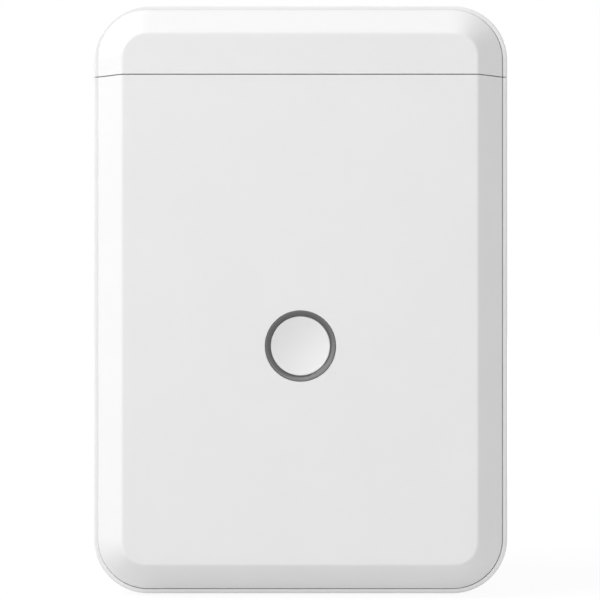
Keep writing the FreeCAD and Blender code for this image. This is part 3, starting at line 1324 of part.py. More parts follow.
def fixed_blade():
    """A plate in front of the tape, ground on its cutting edge, on a flange by the cassette bay."""
    x0 = FIXED_BLADE_X - BLADE_T
    plate = box(x0, FIXED_BLADE_X, CUT_Y - FIXED_BLADE_W, CUT_Y, CUT_PIVOT_Z - FIXED_EYE_R, TAPE_Z1 + GAP)
    eye = rod_x(CUT_Y, CUT_PIVOT_Z, x0, FIXED_BLADE_X, FIXED_EYE_R)
    back = CUT_Y - FIXED_FLANGE_BACK
    front = back - FIXED_FLANGE_W
    flange = box(x0, FIXED_BLADE_X + FIXED_FLANGE_L, front, back, SHELF_Z1, SHELF_Z1 + BLADE_T)
    stem = box(x0, FIXED_BLADE_X, front, back, SHELF_Z1, SHELF_Z1 + FIXED_STEM_H)
    ground = ground_edge(FIXED_BLADE_X, x0 + BLADE_LAND, -1, CUT_PIVOT_Z + FIXED_EYE_R)
    return fused(plate, eye, flange, stem).cut([hole_x(CUT_PIVOT_Z, CUT_PIVOT_R + PRESS), ground])


def sector_points():
    """The moving blade's toothed sector about its pivot, wide enough for the whole stroke."""
    step = 2 * math.pi / SECTOR_TEETH
    spare = 2
    last = int(math.radians(CUT_TRAVEL) / step) + 1 + spare
    outline = []
    for tooth in range(-last, spare + 1):
        outline += tooth_outline(SECTOR_TEETH, DOWN + tooth * step)
    return [(0.0, 0.0)] + [(r * math.cos(a), r * math.sin(a)) for r, a in outline]


def moving_blade():
    """A blade behind the tape, open at rest, with its driving sector below the pivot."""
    x0 = MOVING_BLADE_X - BLADE_T
    arm = box(x0, MOVING_BLADE_X, CUT_Y, CUT_Y + BLADE_W, CUT_PIVOT_Z, CUT_PIVOT_Z + BLADE_L)
    arm = arm.cut(ground_edge(x0, MOVING_BLADE_X - BLADE_LAND, 1, CUT_PIVOT_Z + FIXED_EYE_R))
    arm.rotate(Vector(0, CUT_Y, CUT_PIVOT_Z), Vector(1, 0, 0), -BLADE_OPEN)
    points = [Vector(x0, CUT_Y + u, CUT_PIVOT_Z + v) for u, v in sector_points()]
    sector = drawn(points, Vector(BLADE_T, 0, 0))
    eye = rod_x(CUT_Y, CUT_PIVOT_Z, x0, MOVING_BLADE_X, MOVING_EYE_R)
    return fused(arm, sector, eye).cut(hole_x(CUT_PIVOT_Z, CUT_PIVOT_R + RUN))


def blade_pivot():
    pin = rod_x(CUT_Y, CUT_PIVOT_Z, FRAME_X0, FIXED_BLADE_X, CUT_PIVOT_R)
    head = rod_x(CUT_Y, CUT_PIVOT_Z, FIXED_BLADE_X, FIXED_BLADE_X + CUT_PIVOT_HEAD_H, CUT_PIVOT_HEAD_R)
    return fused(pin, head)


def cutter_gear():
    """A wheel outside the frame on one shaft with the pinion that drives the blade's sector."""
    start = MOVING_BLADE_X - BLADE_T - GAP
    end = MOVING_BLADE_X + GAP
    wheel = gear_x(CUTTER_GEAR_Z, CUTTER_GEAR_TEETH, DOWN, CUTTER_GEAR_X0, CUTTER_GEAR_X1)
    shaft = rod_x(CUT_Y, CUTTER_GEAR_Z, CUTTER_GEAR_X0, end, CUTTER_SHAFT_R)
    pinion = gear_x(CUTTER_GEAR_Z, CUTTER_PINION_TEETH, CUTTER_PINION_PHASE, start, end)
    return fused(wheel, shaft, pinion)


def cutter_motor():
    end = FRAME_X1 + CUTTER_MOTOR_L
    body = rod_x(CUT_Y, CUTTER_MOTOR_Z, FRAME_X1, end, CUTTER_MOTOR_R)
    flat = box(FRAME_X1, end, CUT_Y - CUTTER_MOTOR_R, CUT_Y + CUTTER_MOTOR_R,
               CUTTER_MOTOR_Z - CUTTER_MOTOR_FLAT, CUTTER_MOTOR_Z + CUTTER_MOTOR_FLAT)
    bore = rod_x(CUT_Y, CUTTER_MOTOR_Z, FRAME_X1, end - MOTOR_FLOOR_T, CUTTER_MOTOR_SHAFT_R + RUN)
    return body.common(flat).cut(bore)


def cutter_pinion():
    x0 = CUTTER_GEAR_X0 - FIT
    gear = gear_x(CUTTER_MOTOR_Z, CUTTER_PINION_TEETH, CUTTER_MOTOR_PHASE, x0, CUTTER_GEAR_X1 + FIT)
    end = FRAME_X1 + CUTTER_MOTOR_L - 2 * MOTOR_FLOOR_T
    return fused(gear, rod_x(CUT_Y, CUTTER_MOTOR_Z, x0, end, CUTTER_MOTOR_SHAFT_R))


def exit_guide():
    """A channel that leads the cut tape from the cutter out through the side wall."""
    x0 = -SHELF_X
    x1 = FRAME_X0 - GUIDE_GAP
    base_z = SHELF_Z1 + FRAME_T
    near = TAPE_Y0 - EXIT_HALF
    far = TAPE_Y1 + EXIT_HALF
    base = box(x0, x1, near - GUIDE_T, far + GUIDE_T, base_z, base_z + GUIDE_T)
    walls = []
    for inner, side in ((near, -1), (far, 1)):
        flared = inner + side * GUIDE_FLARE
        outline = [(x0, inner), (x0, inner + side * GUIDE_T), (x1, flared + side * GUIDE_T), (x1, flared)]
        walls.append(drawn([Vector(x, y, base_z) for x, y in outline], Vector(0, 0, GUIDE_H)))
    return fused(base, *walls)


def build():
    tub = case_tub()
    shell = panel_shell()
    return {
        "main_case": main_case(tub),
        "front_cover": front_cover(shell),
        "lid_shell": lid_shell(tub),
        "lid_front": above_split(shell),
        "hinge_pin": hinge_pin(),
        "rubber_feet": rubber_feet(),
        "case_screws": case_screws(),
        "light_ring": light_ring(),
        "button_cap": button_cap(),
        "switch_plunger": switch_plunger(),
        "tact_switch": tact_switch(),
        "main_board": main_board(),
        "board_parts": board_parts(),
        "board_screws": board_screws(),
        "radio_module": radio_module(),
        "indicator_leds": indicator_leds(),
        "power_inlet": power_inlet(),
        "battery_box": battery_box(),
        "batteries": batteries(),
        "battery_plates": battery_plates(),
        "battery_springs": battery_springs(),
        "battery_door": battery_door(),
        "chassis": chassis(),
        "chassis_screws": chassis_screws(),
        "cassette_base": cassette_base(),
        "cassette_cover": cassette_cover(),
        "tape_roll": tape_roll(),
        "tape_core": tape_core(),
        "tape_leader": tape_leader(),
        "ribbon_supply": ribbon_supply(),
        "ribbon_take_up": ribbon_take_up(),
        "platen_core": platen_core(),
        "platen_roller": platen_roller(),
        "print_head": print_head(),
        "heat_sink": heat_sink(),
        "head_arm": head_arm(),
        "head_pivot": head_pivot(),
        "head_spring": head_spring(),
        "gear_plate": gear_plate(),
        "gear_post": gear_post(),
        "gear_plate_screws": gear_plate_screws(),
        "platen_gear": platen_gear(),
        "ribbon_gear": ribbon_gear(),
        "idler_gear": idler_gear(),
        "reduction_gear": reduction_gear(),
        "feed_motor": feed_motor(),
        "motor_shaft": motor_shaft(),
        "motor_pinion": motor_pinion(),
        "cutter_frame": cutter_frame(),
        "cutter_screws": cutter_screws(),
        "fixed_blade": fixed_blade(),
        "moving_blade": moving_blade(),
        "blade_pivot": blade_pivot(),
        "cutter_gear": cutter_gear(),
        "cutter_motor": cutter_motor(),
        "cutter_pinion": cutter_pinion(),
        "exit_guide": exit_guide(),
    }


os.makedirs("parts", exist_ok=True)
for node, shape in build().items():
    print(node, len(shape.Solids), round(shape.Volume, 1), shape.isValid())
    shape.exportStep("parts/" + node + ".step")
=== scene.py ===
# %% [markdown]
# Upright label printer, dressed for its portrait.
# The solids arrive with their sizes, places and joints already settled. This lesson gives every one of
# them a finish, draws a few small pieces finer than a solid model has them, and lights the result like a
# product photograph. Every length is in metres, +Z is up and the button faces -Y.

# %% Load the solids
import json
import math

import bpy
import numpy as np
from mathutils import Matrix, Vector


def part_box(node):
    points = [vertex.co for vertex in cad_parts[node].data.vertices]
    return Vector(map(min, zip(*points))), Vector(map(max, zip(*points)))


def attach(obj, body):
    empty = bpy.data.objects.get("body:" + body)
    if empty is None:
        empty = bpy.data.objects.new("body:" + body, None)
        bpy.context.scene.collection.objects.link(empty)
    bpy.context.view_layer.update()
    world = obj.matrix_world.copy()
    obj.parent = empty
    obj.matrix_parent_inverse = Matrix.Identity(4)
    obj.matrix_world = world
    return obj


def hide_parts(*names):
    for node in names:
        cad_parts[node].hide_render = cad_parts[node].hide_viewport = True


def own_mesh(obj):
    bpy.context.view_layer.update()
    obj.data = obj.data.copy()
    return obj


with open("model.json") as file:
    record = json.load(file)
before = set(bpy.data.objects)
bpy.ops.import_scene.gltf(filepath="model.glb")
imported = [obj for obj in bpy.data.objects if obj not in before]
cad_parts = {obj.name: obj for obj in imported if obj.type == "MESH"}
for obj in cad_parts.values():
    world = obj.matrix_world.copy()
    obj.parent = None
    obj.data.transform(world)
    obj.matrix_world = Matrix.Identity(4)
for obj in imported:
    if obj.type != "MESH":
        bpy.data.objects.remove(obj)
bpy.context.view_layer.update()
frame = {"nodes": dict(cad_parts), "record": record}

nodes = frame["nodes"]

# %% [markdown]
# The camera stands straight in front of the panel, at half the printer's height, and far enough away
# that the sides vanish behind the bevels. The picture is 600 pixels square, so a focal length in pixels
# becomes millimetres of lens by the ratio of the sensor's width to those pixels.

# %% Camera
PICTURE_PX = 600
FOCAL_PX = 2018
SENSOR_MM = 36.0
EYE = (-0.0001, -0.4725, 0.0661)


def add_camera():
    """A level camera that looks along +Y."""
    data = bpy.data.cameras.new("portrait_camera")
    data.sensor_width = SENSOR_MM
    data.lens = FOCAL_PX / PICTURE_PX * SENSOR_MM
    camera = bpy.data.objects.new("portrait_camera", data)
    camera.location = EYE
    camera.rotation_euler = (math.radians(90), 0, 0)
    bpy.context.scene.collection.objects.link(camera)
    bpy.context.scene.camera = camera
    return camera


camera = add_camera()
print("lens in mm:", round(camera.data.lens, 1))

# %% [markdown]
# In the photograph the left and upper bevels are the brightest, the flat face is a little darker and the
# right and lower bevels are darker still. That asks for a wide soft lamp up on the left, a weaker one in
# front, a faint one on the right, and a sky for the rest. The front lamp stands a little to the left, so
# the ring round the button mirrors it at the lower right and stays dark on the left. A white cove behind
# a product is lit brightly and glows round its edges, so the sky is brighter behind the printer than in
# front of it. The sky that the lens sees is plain white: the Light Path node tells the two apart. A last
# weak lamp keeps the back readable.

# %% Light
SKY_SEEN = 1.0
SKY_FRONT = 0.45
SKY_BACK = 0.7
COVE_BEND = 0.5
PALE = (1.0, 1.0, 1.0, 1.0)
MIDDLE = (0.0, 0.0, 0.066)


def bright_rays(tree):
    """One where a ray comes from the lens, a mirror or clear plastic, and zero for light that falls."""
    path = tree.nodes.new("ShaderNodeLightPath")
    seen = path.outputs["Is Camera Ray"]
    for kind in ("Is Glossy Ray", "Is Transmission Ray"):
        larger = tree.nodes.new("ShaderNodeMath")
        larger.operation = "MAXIMUM"
        tree.links.new(seen, larger.inputs[0])
        tree.links.new(path.outputs[kind], larger.inputs[1])
        seen = larger.outputs[0]
    return seen


def cove_light(tree):
    """The sky's strength for falling light: it grows from front to back with the Y part of a ray's way."""
    way = tree.nodes.new("ShaderNodeTexCoord")
    parts = tree.nodes.new("ShaderNodeSeparateXYZ")
    tree.links.new(way.outputs["Generated"], parts.inputs["Vector"])
    cove = tree.nodes.new("ShaderNodeMapRange")
    cove.inputs["From Min"].default_value = 0.0
    cove.inputs["From Max"].default_value = COVE_BEND
    cove.inputs["To Min"].default_value = SKY_FRONT
    cove.inputs["To Max"].default_value = SKY_BACK
    tree.links.new(parts.outputs["Y"], cove.inputs["Value"])
    return cove.outputs["Result"]


def paint_sky():
    """A white sky for the lens, and the cove's light for everything else."""
    world = bpy.data.worlds.new("studio_sky")
    world.use_nodes = True
    tree = world.node_tree
    sky = tree.nodes["Background"]
    sky.inputs["Color"].default_value = PALE
    strength = tree.nodes.new("ShaderNodeMapRange")
    strength.inputs["To Max"].default_value = SKY_SEEN
    tree.links.new(cove_light(tree), strength.inputs["To Min"])
    tree.links.new(bright_rays(tree), strength.inputs["Value"])
    tree.links.new(strength.outputs["Result"], sky.inputs["Strength"])
    bpy.context.scene.world = world


def add_softbox(name, place, size, power):
    """A square area lamp that faces the printer's middle."""
    data = bpy.data.lights.new(name, "AREA")
    data.shape = "SQUARE"
    data.size = size
    data.energy = power
    lamp = bpy.data.objects.new(name, data)
    lamp.location = place
    x, y, z = np.subtract(MIDDLE, place)
    lamp.rotation_euler = (math.atan2(math.hypot(x, y), -z), 0, math.atan2(y, x) - math.pi / 2)
    bpy.context.scene.collection.objects.link(lamp)
    return lamp


bpy.context.scene.view_settings.view_transform = "Standard"
paint_sky()
add_softbox("key_softbox", (-1.18, -0.37, 1.49), size=1.05, power=24.0)
add_softbox("front_softbox", (-0.34, -1.4, 0.25), size=0.9, power=6.6)
add_softbox("right_softbox", (1.3, -0.4, 0.5), size=0.9, power=0.4)
add_softbox("back_softbox", (0.5, 1.3, 0.6), size=0.9, power=3.0)

# %% [markdown]
# The floor is white paper on a photographer's light table. To the lens it is almost as white as the sky,
# so that the printer stands on nothing but its own soft shadow, and a little way off it is exactly as
# white, so that no horizon shows. To the printer it is pale paper that throws some light back up, and
# the table's weak light shines through it, so the lower bevel comes out nearly as even as in the
# photograph.

# %% Floor
FLOOR_HALF = 3.0
SHADOW_REACH = (0.15, 0.45)
FLOOR_GLOW = 0.78
GLOW_STRENGTH = 1.1
PAPER = (0.4, 0.4, 0.4, 1)
PAPER_ROUGHNESS = 0.9
TABLE_LIGHT = 0.27


def glow_share(tree):
    """How much of the paper glows for the lens: part of it near the printer, all of it further away."""
    place = tree.nodes.new("ShaderNodeTexCoord")
    away = tree.nodes.new("ShaderNodeVectorMath")
    away.operation = "LENGTH"
    tree.links.new(place.outputs["Object"], away.inputs[0])
    near = tree.nodes.new("ShaderNodeMapRange")
    near.interpolation_type = "SMOOTHSTEP"
    near.inputs["From Min"].default_value = SHADOW_REACH[0]
    near.inputs["From Max"].default_value = SHADOW_REACH[1]
    near.inputs["To Min"].default_value = FLOOR_GLOW
    near.inputs["To Max"].default_value = 1.0
    tree.links.new(away.outputs["Value"], near.inputs["Value"])
    share = tree.nodes.new("ShaderNodeMath")
    share.operation = "MULTIPLY"
    tree.links.new(near.outputs["Result"], share.inputs[0])
    tree.links.new(bright_rays(tree), share.inputs[1])
    return share.outputs[0]


def lay_floor():
    """A wide flat square at height zero, part paper and part glow for the lens."""
    half = FLOOR_HALF
    corners = [(-half, -half, 0), (half, -half, 0), (half, half, 0), (-half, half, 0)]
    mesh = bpy.data.meshes.new("floor")
    mesh.from_pydata(corners, [], [(0, 1, 2, 3)])
    floor = bpy.data.objects.new("floor", mesh)
    bpy.context.scene.collection.objects.link(floor)
    material = bpy.data.materials.new("white_paper")
    material.use_nodes = True
    tree = material.node_tree
    paper = tree.nodes["Principled BSDF"]
    paper.inputs["Base Color"].default_value = PAPER
    paper.inputs["Emission Color"].default_value = PALE
    paper.inputs["Emission Strength"].default_value = TABLE_LIGHT
    paper.inputs["Roughness"].default_value = PAPER_ROUGHNESS
    paper.inputs["Specular IOR Level"].default_value = 0.0
    glow = tree.nodes.new("ShaderNodeEmission")
    glow.inputs["Color"].default_value = PALE
    glow.inputs["Strength"].default_value = GLOW_STRENGTH
    mix = tree.nodes.new("ShaderNodeMixShader")
    tree.links.new(glow_share(tree), mix.inputs["Fac"])
    tree.links.new(paper.outputs["BSDF"], mix.inputs[1])
    tree.links.new(glow.outputs["Emission"], mix.inputs[2])
    tree.links.new(mix.outputs["Shader"], tree.nodes["Material Output"].inputs["Surface"])
    mesh.materials.append(material)


lay_floor()
print("floor half width:", FLOOR_HALF)

# %% [markdown]
# Finishes share a few moves: a pattern on the object's own coordinates, a colour or a roughness that
# drifts with it, and a bump that follows it. Each move is one small function, so a finish reads like a
# recipe.

# %% Recipe moves
ROUGHNESS_FROM = 0.15
ROUGHNESS_TO = 0.85
# A wave texture of scale 1 draws this many rings in one unit of length
RINGS_PER_UNIT = 20 / (2 * math.pi)
RING_WOBBLE = 0.6
WOBBLE_SCALE = 2.0


def set_sockets(material, values):
    """Plain values on the sockets of a material's shader."""
    shader = material.node_tree.nodes["Principled BSDF"]
    for socket, value in values.items():
        shader.inputs[socket].default_value = value


def new_finish(name, colour, roughness, metallic=0.0):
    """A material with one Principled shader, set to its plain values."""
    material = bpy.data.materials.new(name)
    material.use_nodes = True
    set_sockets(material, {"Base Color": (*colour, 1), "Roughness": roughness, "Metallic": metallic})
    return material


def coordinates(material, stretch=(1, 1, 1), origin=(0, 0, 0)):
    """Object coordinates moved so that origin is zero, then stretched along the axes."""
    tree = material.node_tree
    source = tree.nodes.new("ShaderNodeTexCoord")
    mapping = tree.nodes.new("ShaderNodeMapping")
    mapping.inputs["Scale"].default_value = stretch
    mapping.inputs["Location"].default_value = [-s * o for s, o in zip(stretch, origin)]
    tree.links.new(source.outputs["Object"], mapping.inputs["Vector"])
    return mapping.outputs["Vector"]


def noise(material, grain, detail=2.0, stretch=(1, 1, 1)):
    """Soft noise whose spots are about grain metres wide."""
    tree = material.node_tree
    node = tree.nodes.new("ShaderNodeTexNoise")
    node.inputs["Scale"].default_value = 1 / grain
    node.inputs["Detail"].default_value = detail
    tree.links.new(coordinates(material, stretch), node.inputs["Vector"])
    return node.outputs["Fac"]


def drift_colour(material, pattern, dark, light, low=0.3, high=0.7):
    """The base colour runs from dark to light as the pattern runs from low to high."""
    tree = material.node_tree
    ramp = tree.nodes.new("ShaderNodeValToRGB")
    ramp.color_ramp.elements[0].position = low
    ramp.color_ramp.elements[0].color = (*dark, 1)
    ramp.color_ramp.elements[1].position = high
    ramp.color_ramp.elements[1].color = (*light, 1)
    tree.links.new(pattern, ramp.inputs["Fac"])
    tree.links.new(ramp.outputs["Color"], tree.nodes["Principled BSDF"].inputs["Base Color"])


def drift_roughness(material, pattern, smooth, rough):
    """The roughness runs from smooth to rough with the pattern."""
    tree = material.node_tree
    span = tree.nodes.new("ShaderNodeMapRange")
    span.inputs["From Min"].default_value = ROUGHNESS_FROM
    span.inputs["From Max"].default_value = ROUGHNESS_TO
    span.inputs["To Min"].default_value = smooth
    span.inputs["To Max"].default_value = rough
    tree.links.new(pattern, span.inputs["Value"])
    tree.links.new(span.outputs["Result"], tree.nodes["Principled BSDF"].inputs["Roughness"])


def raise_bump(material, pattern, height, strength=1.0):
    """The surface rises and falls with the pattern by up to height metres."""
    tree = material.node_tree
    bump = tree.nodes.new("ShaderNodeBump")
    bump.inputs["Distance"].default_value = height
    bump.inputs["Strength"].default_value = strength
    tree.links.new(pattern, bump.inputs["Height"])
    tree.links.new(bump.outputs["Normal"], tree.nodes["Principled BSDF"].inputs["Normal"])


def rings(material, centre, pitch):
    """Thin rings about an upright axis through centre, one every pitch metres."""
    tree = material.node_tree
    wave = tree.nodes.new("ShaderNodeTexWave")
    wave.wave_type = "RINGS"
    wave.rings_direction = "Z"
    wave.inputs["Scale"].default_value = 1 / (RINGS_PER_UNIT * pitch)
    wave.inputs["Distortion"].default_value = RING_WOBBLE
    wave.inputs["Detail Scale"].default_value = WOBBLE_SCALE
    tree.links.new(coordinates(material, origin=centre), wave.inputs["Vector"])
    return wave.outputs["Fac"]


def grey(value):
    return (value, value, value)


def shaded(colour, share):
    """The colour times a share, kept at one or below."""
    return [min(1, part * share) for part in colour]


print("rings in a unit:", round(RINGS_PER_UNIT, 2))

# %% [markdown]
# Moulded plastics make up most of the printer. A steel mould with a fine spark-eroded surface leaves a
# grain of a few tenths of a millimetre, which the eye reads as satin. So each plastic gets a slow drift
# of colour that keeps it from looking painted, a gentle drift of roughness, and that grain as a very low
# bump.

# %% Plastics
GRAIN = 0.00035
CLOUD = 0.02
PATCH = 0.004
SATIN = 0.05


def moulded(name, colour, roughness, depth=0.000006, drift=0.02):
    """Satin moulded plastic of one colour."""
    material = new_finish(name, colour, roughness)
    clouds = noise(material, CLOUD, detail=3.0)
    drift_colour(material, clouds, shaded(colour, 1 - drift), shaded(colour, 1 + drift))
    drift_roughness(material, noise(material, PATCH), roughness - SATIN, roughness + SATIN)
    raise_bump(material, noise(material, GRAIN, detail=3.0), depth)
    return material


def acetal(name, colour):
    """The waxy plastic of small gears: light enters it a little, so edges glow."""
    material = moulded(name, colour, roughness=0.38, depth=0.000002)
    set_sockets(material, {"Subsurface Weight": 0.25, "Subsurface Scale": 0.0008})
    return material


def clear_plastic(name, colour, roughness):
    """The lens of a small lamp: tinted, and partly see-through."""
    material = moulded(name, colour, roughness, depth=0.000002)
    set_sockets(material, {"Transmission Weight": 0.35})
    return material


def glossy_pipe(name, colour):
    """The smoked plastic of a light pipe while it is dark: smooth enough to mirror the lamps."""
    material = moulded(name, colour, roughness=0.2, depth=0.000001)
    set_sockets(material, {"Specular IOR Level": 0.8})
    return material


def rubber(name, colour):
    """Soft matt rubber with a fine ground skin."""
    material = moulded(name, colour, roughness=0.8, depth=0.00001, drift=0.1)
    set_sockets(material, {"Specular IOR Level": 0.3})
    return material


finish = {
    "casing_white": moulded("casing_white", grey(0.83), roughness=0.45, drift=0.008),
    "ring_grey": glossy_pipe("ring_grey", grey(0.07)),
    "inner_black": moulded("inner_black", (0.022, 0.023, 0.025), roughness=0.5, drift=0.15),
    "cassette_grey": moulded("cassette_grey", (0.42, 0.43, 0.44), roughness=0.42),
    "gear_ivory": acetal("gear_ivory", (0.74, 0.70, 0.60)),
    "led_clear": clear_plastic("led_clear", (0.85, 0.82, 0.62), roughness=0.2),
    "black_rubber": rubber("black_rubber", grey(0.02)),
    "clear_silicone": rubber("clear_silicone", grey(0.62)),
    "chip_black": moulded("chip_black", grey(0.018), roughness=0.55, drift=0.2),
}
print("plastics:", sorted(finish))

# %% [markdown]
# Metals show how they were worked. Rolled sheet has fine lines along one way, a ground blade has them
# across its edge, a drawn motor can is plated and faintly mottled, and a cast heat sink is blasted to an
# even matt. The lines are noise that is stretched along one axis.

# %% Metals
LINE_GRAIN = 0.00025
LINE_DARK = 0.96
LINE_SMOOTHER = 0.06
LINE_ROUGHER = 0.08
PLATE_CLOUD = 0.003
PLATE_DARK = 0.94
PLATE_SMOOTHER = 0.07
PLATE_ROUGHER = 0.09
BLAST_GRAIN = 0.00015
BLAST_DEPTH = 0.000002
METAL_LIGHT = 1.03
ALONG_Y = (1, 0.03, 1)
ALONG_Z = (1, 1, 0.03)


def lined_metal(name, colour, roughness, stretch, depth=0.0000012):
    """Metal with fine lines: noise stretched along an axis."""
    material = new_finish(name, colour, roughness, metallic=1.0)
    lines = noise(material, LINE_GRAIN, detail=4.0, stretch=stretch)
    drift_colour(material, lines, shaded(colour, LINE_DARK), shaded(colour, METAL_LIGHT))
    drift_roughness(material, lines, roughness - LINE_SMOOTHER, roughness + LINE_ROUGHER)
    raise_bump(material, lines, depth)
    return material


def plated_metal(name, colour, roughness):
    """Plated or blasted metal: soft clouds of roughness and a fine even grain."""
    material = new_finish(name, colour, roughness, metallic=1.0)
    clouds = noise(material, PLATE_CLOUD, detail=4.0)
    drift_colour(material, clouds, shaded(colour, PLATE_DARK), shaded(colour, METAL_LIGHT))
    drift_roughness(material, clouds, roughness - PLATE_SMOOTHER, roughness + PLATE_ROUGHER)
    raise_bump(material, noise(material, BLAST_GRAIN), BLAST_DEPTH)
    return material


finish.update({
    "steel": lined_metal("steel", (0.56, 0.565, 0.57), roughness=0.34, stretch=ALONG_Z),
    "blade_steel": lined_metal("blade_steel", (0.66, 0.67, 0.68), roughness=0.22, stretch=ALONG_Y),
    "motor_can": plated_metal("motor_can", (0.60, 0.60, 0.58), roughness=0.34),
    "alloy": plated_metal("alloy", (0.74, 0.745, 0.75), roughness=0.46),
    "shield_tin": plated_metal("shield_tin", (0.66, 0.66, 0.64), roughness=0.3),
    "contact_nickel": plated_metal("contact_nickel", (0.68, 0.65, 0.60), roughness=0.26),
    "pinion_brass": lined_metal("pinion_brass", (0.78, 0.58, 0.27), roughness=0.3, stretch=ALONG_Z),
})
print("finishes so far:", len(finish))

# %% [markdown]
# A roll of label tape is a wound strip, so its ends show the layers as fine rings about its axis. The
# rings are a wave pattern about the roll's own centre, read from the solid's box. The inked ribbon is
# wound the same way but is dark and glossy. The loose strip of tape has no rings.

# %% Tape and ribbon
TAPE = (0.86, 0.86, 0.85)
INK = (0.025, 0.024, 0.026)
LAYER_STEP = 0.00002
LAYER_ROUGHER = 0.15


def centre_of(node):
    """The middle of a solid's box."""
    low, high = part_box(node)
    return np.add(low, high) / 2


def wound(name, node, colour, roughness, pitch, contrast):
    """A wound roll: rings about the upright axis of a node."""
    material = new_finish(name, colour, roughness)
    layers = rings(material, centre_of(node), pitch)
    drift_colour(material, layers, shaded(colour, 1 - contrast), colour, low=0.1, high=0.6)
    drift_roughness(material, layers, roughness, roughness + LAYER_ROUGHER)
    raise_bump(material, layers, LAYER_STEP, strength=0.5)
    return material


tape_wound = wound("tape_wound", "tape_roll", TAPE, roughness=0.35, pitch=0.0005, contrast=0.25)
finish["tape_white"] = moulded("tape_white", TAPE, roughness=0.3, depth=0.000001, drift=0.01)
finish["ribbon_film"] = wound("ribbon_film", "ribbon_supply", INK, roughness=0.2, pitch=0.0003,
                              contrast=0.5)
print("roll centre:", centre_of("tape_roll").round(4))

# %% [markdown]
# The print head is a glazed ceramic tile with one thin dark line of heating dots, and the boards are
# fibreglass under green lacquer, where copper runs show as paler lines. Both are hidden in use and show
# only when the printer is taken apart, so their patterns stay simple. The cells behind the battery door
# wear a plain shrunk sleeve, which is made as a moulded plastic under a thin clear coat.

# %% Ceramic, boards and cells
GLAZE = (0.80, 0.77, 0.71)
HEATER = (0.12, 0.10, 0.09)
HEATER_AT = 0.25
HEATER_HALF = 0.0002
HEATER_FADE = 0.0004
LACQUER = (0.015, 0.10, 0.045)
COPPER_RUN = (0.03, 0.19, 0.09)
TILE_PATCH = 0.001
BOARD_PATCH = 0.002
RUN_SCALE = 260
RUN_SHARE = 0.06
RUN_HEIGHT = 0.00003
SLEEVE = (0.11, 0.17, 0.23)


def glazed_tile(name):
    """Pale ceramic with a dark upright line of heating dots at a quarter of its width."""
    material = new_finish(name, GLAZE, roughness=0.2)
    low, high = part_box("print_head")
    heater = [low[0] + HEATER_AT * (high[0] - low[0]), low[1], low[2]]
    tree = material.node_tree
    parts = tree.nodes.new("ShaderNodeSeparateXYZ")
    tree.links.new(coordinates(material, origin=heater), parts.inputs["Vector"])
    aside = tree.nodes.new("ShaderNodeMath")
    aside.operation = "ABSOLUTE"
    tree.links.new(parts.outputs["X"], aside.inputs[0])
    line = tree.nodes.new("ShaderNodeMapRange")
    line.inputs["From Min"].default_value = HEATER_HALF
    line.inputs["From Max"].default_value = HEATER_FADE
    tree.links.new(aside.outputs[0], line.inputs["Value"])
    drift_colour(material, line.outputs["Result"], HEATER, GLAZE, low=0.0, high=1.0)
    drift_roughness(material, noise(material, TILE_PATCH), smooth=0.15, rough=0.28)
    return material


def circuit_board(name):
    """Green lacquer over copper runs: the runs are the joints of a brick pattern in the board's plane."""
    material = new_finish(name, LACQUER, roughness=0.35)
    tree = material.node_tree
    upright = tree.nodes.new("ShaderNodeMapping")
    upright.inputs["Rotation"].default_value = (math.radians(90), 0, 0)
    tree.links.new(coordinates(material), upright.inputs["Vector"])
    runs = tree.nodes.new("ShaderNodeTexBrick")
    runs.inputs["Scale"].default_value = RUN_SCALE
    runs.inputs["Mortar Size"].default_value = RUN_SHARE
    tree.links.new(upright.outputs["Vector"], runs.inputs["Vector"])
    drift_colour(material, runs.outputs["Fac"], LACQUER, COPPER_RUN, low=0.0, high=1.0)
    drift_roughness(material, noise(material, BOARD_PATCH), smooth=0.3, rough=0.42)
    raise_bump(material, runs.outputs["Fac"], RUN_HEIGHT)
    return material


def cell_jacket(name):
    """The shrunk sleeve of a battery cell, bare of any print: slate blue with a soft gloss."""
    material = moulded(name, SLEEVE, roughness=0.3, depth=0.000001, drift=0.03)
    set_sockets(material, {"Coat Weight": 0.4})
    return material


finish["head_ceramic"] = glazed_tile("head_ceramic")
finish["board_green"] = circuit_board("board_green")
finish["cell_jacket"] = cell_jacket("cell_jacket")
print("finishes in all:", len(finish))

# %% [markdown]
# Now every solid gets the finish that the parts list names for it. The roll is the one exception: it
# takes the wound finish, while the loose strip keeps the plain one.

# %% Dress the solids
slot_of = {part["node"]: part["material_slot"] for part in frame["record"]["subparts"]}


def dress(node, material):
    for place in node.material_slots:
        place.material = material


for name, node in nodes.items():
    dress(node, finish[slot_of[name]])
dress(nodes["tape_roll"], tape_wound)
print("dressed:", len(nodes))

# %% [markdown]
# A few pieces deserve a finer form than the solids have: the button and the ring round it, the six cells
# behind the battery door, the pins that close the cassette and a spring. All but the spring are turned:
# a profile of radius and height runs round an axis. A point of radius r and height h at the angle a lies
# at (r cos a, r sin a, h). One array holds all of them, with a row for each point of the profile and a
# column for each angle. The faces are arrays of point numbers, in blocks of three or of four corners.

# %% Turned shapes
SIDES = 96
ARC_POINTS = 7
CRISP_DEGREES = 35


def arc(centre, radius, start, end):
    """Points on a circle about centre, from one angle in degrees to another."""
    angle = np.radians(np.linspace(start, end, ARC_POINTS))
    return np.column_stack([np.cos(angle), np.sin(angle)]) * radius + centre


def turned_rows(profile):
    """The points (r cos a, r sin a, h), and their numbers as a grid of rows and columns."""
    angle = np.linspace(0, 2 * np.pi, SIDES, endpoint=False)
    radius, height = profile[:, :1], profile[:, 1:]
    level = np.broadcast_to(height, (len(profile), SIDES))
    points = np.stack([radius * np.cos(angle), radius * np.sin(angle), level], axis=-1).reshape(-1, 3)
    return points, np.arange(len(points)).reshape(len(profile), SIDES)


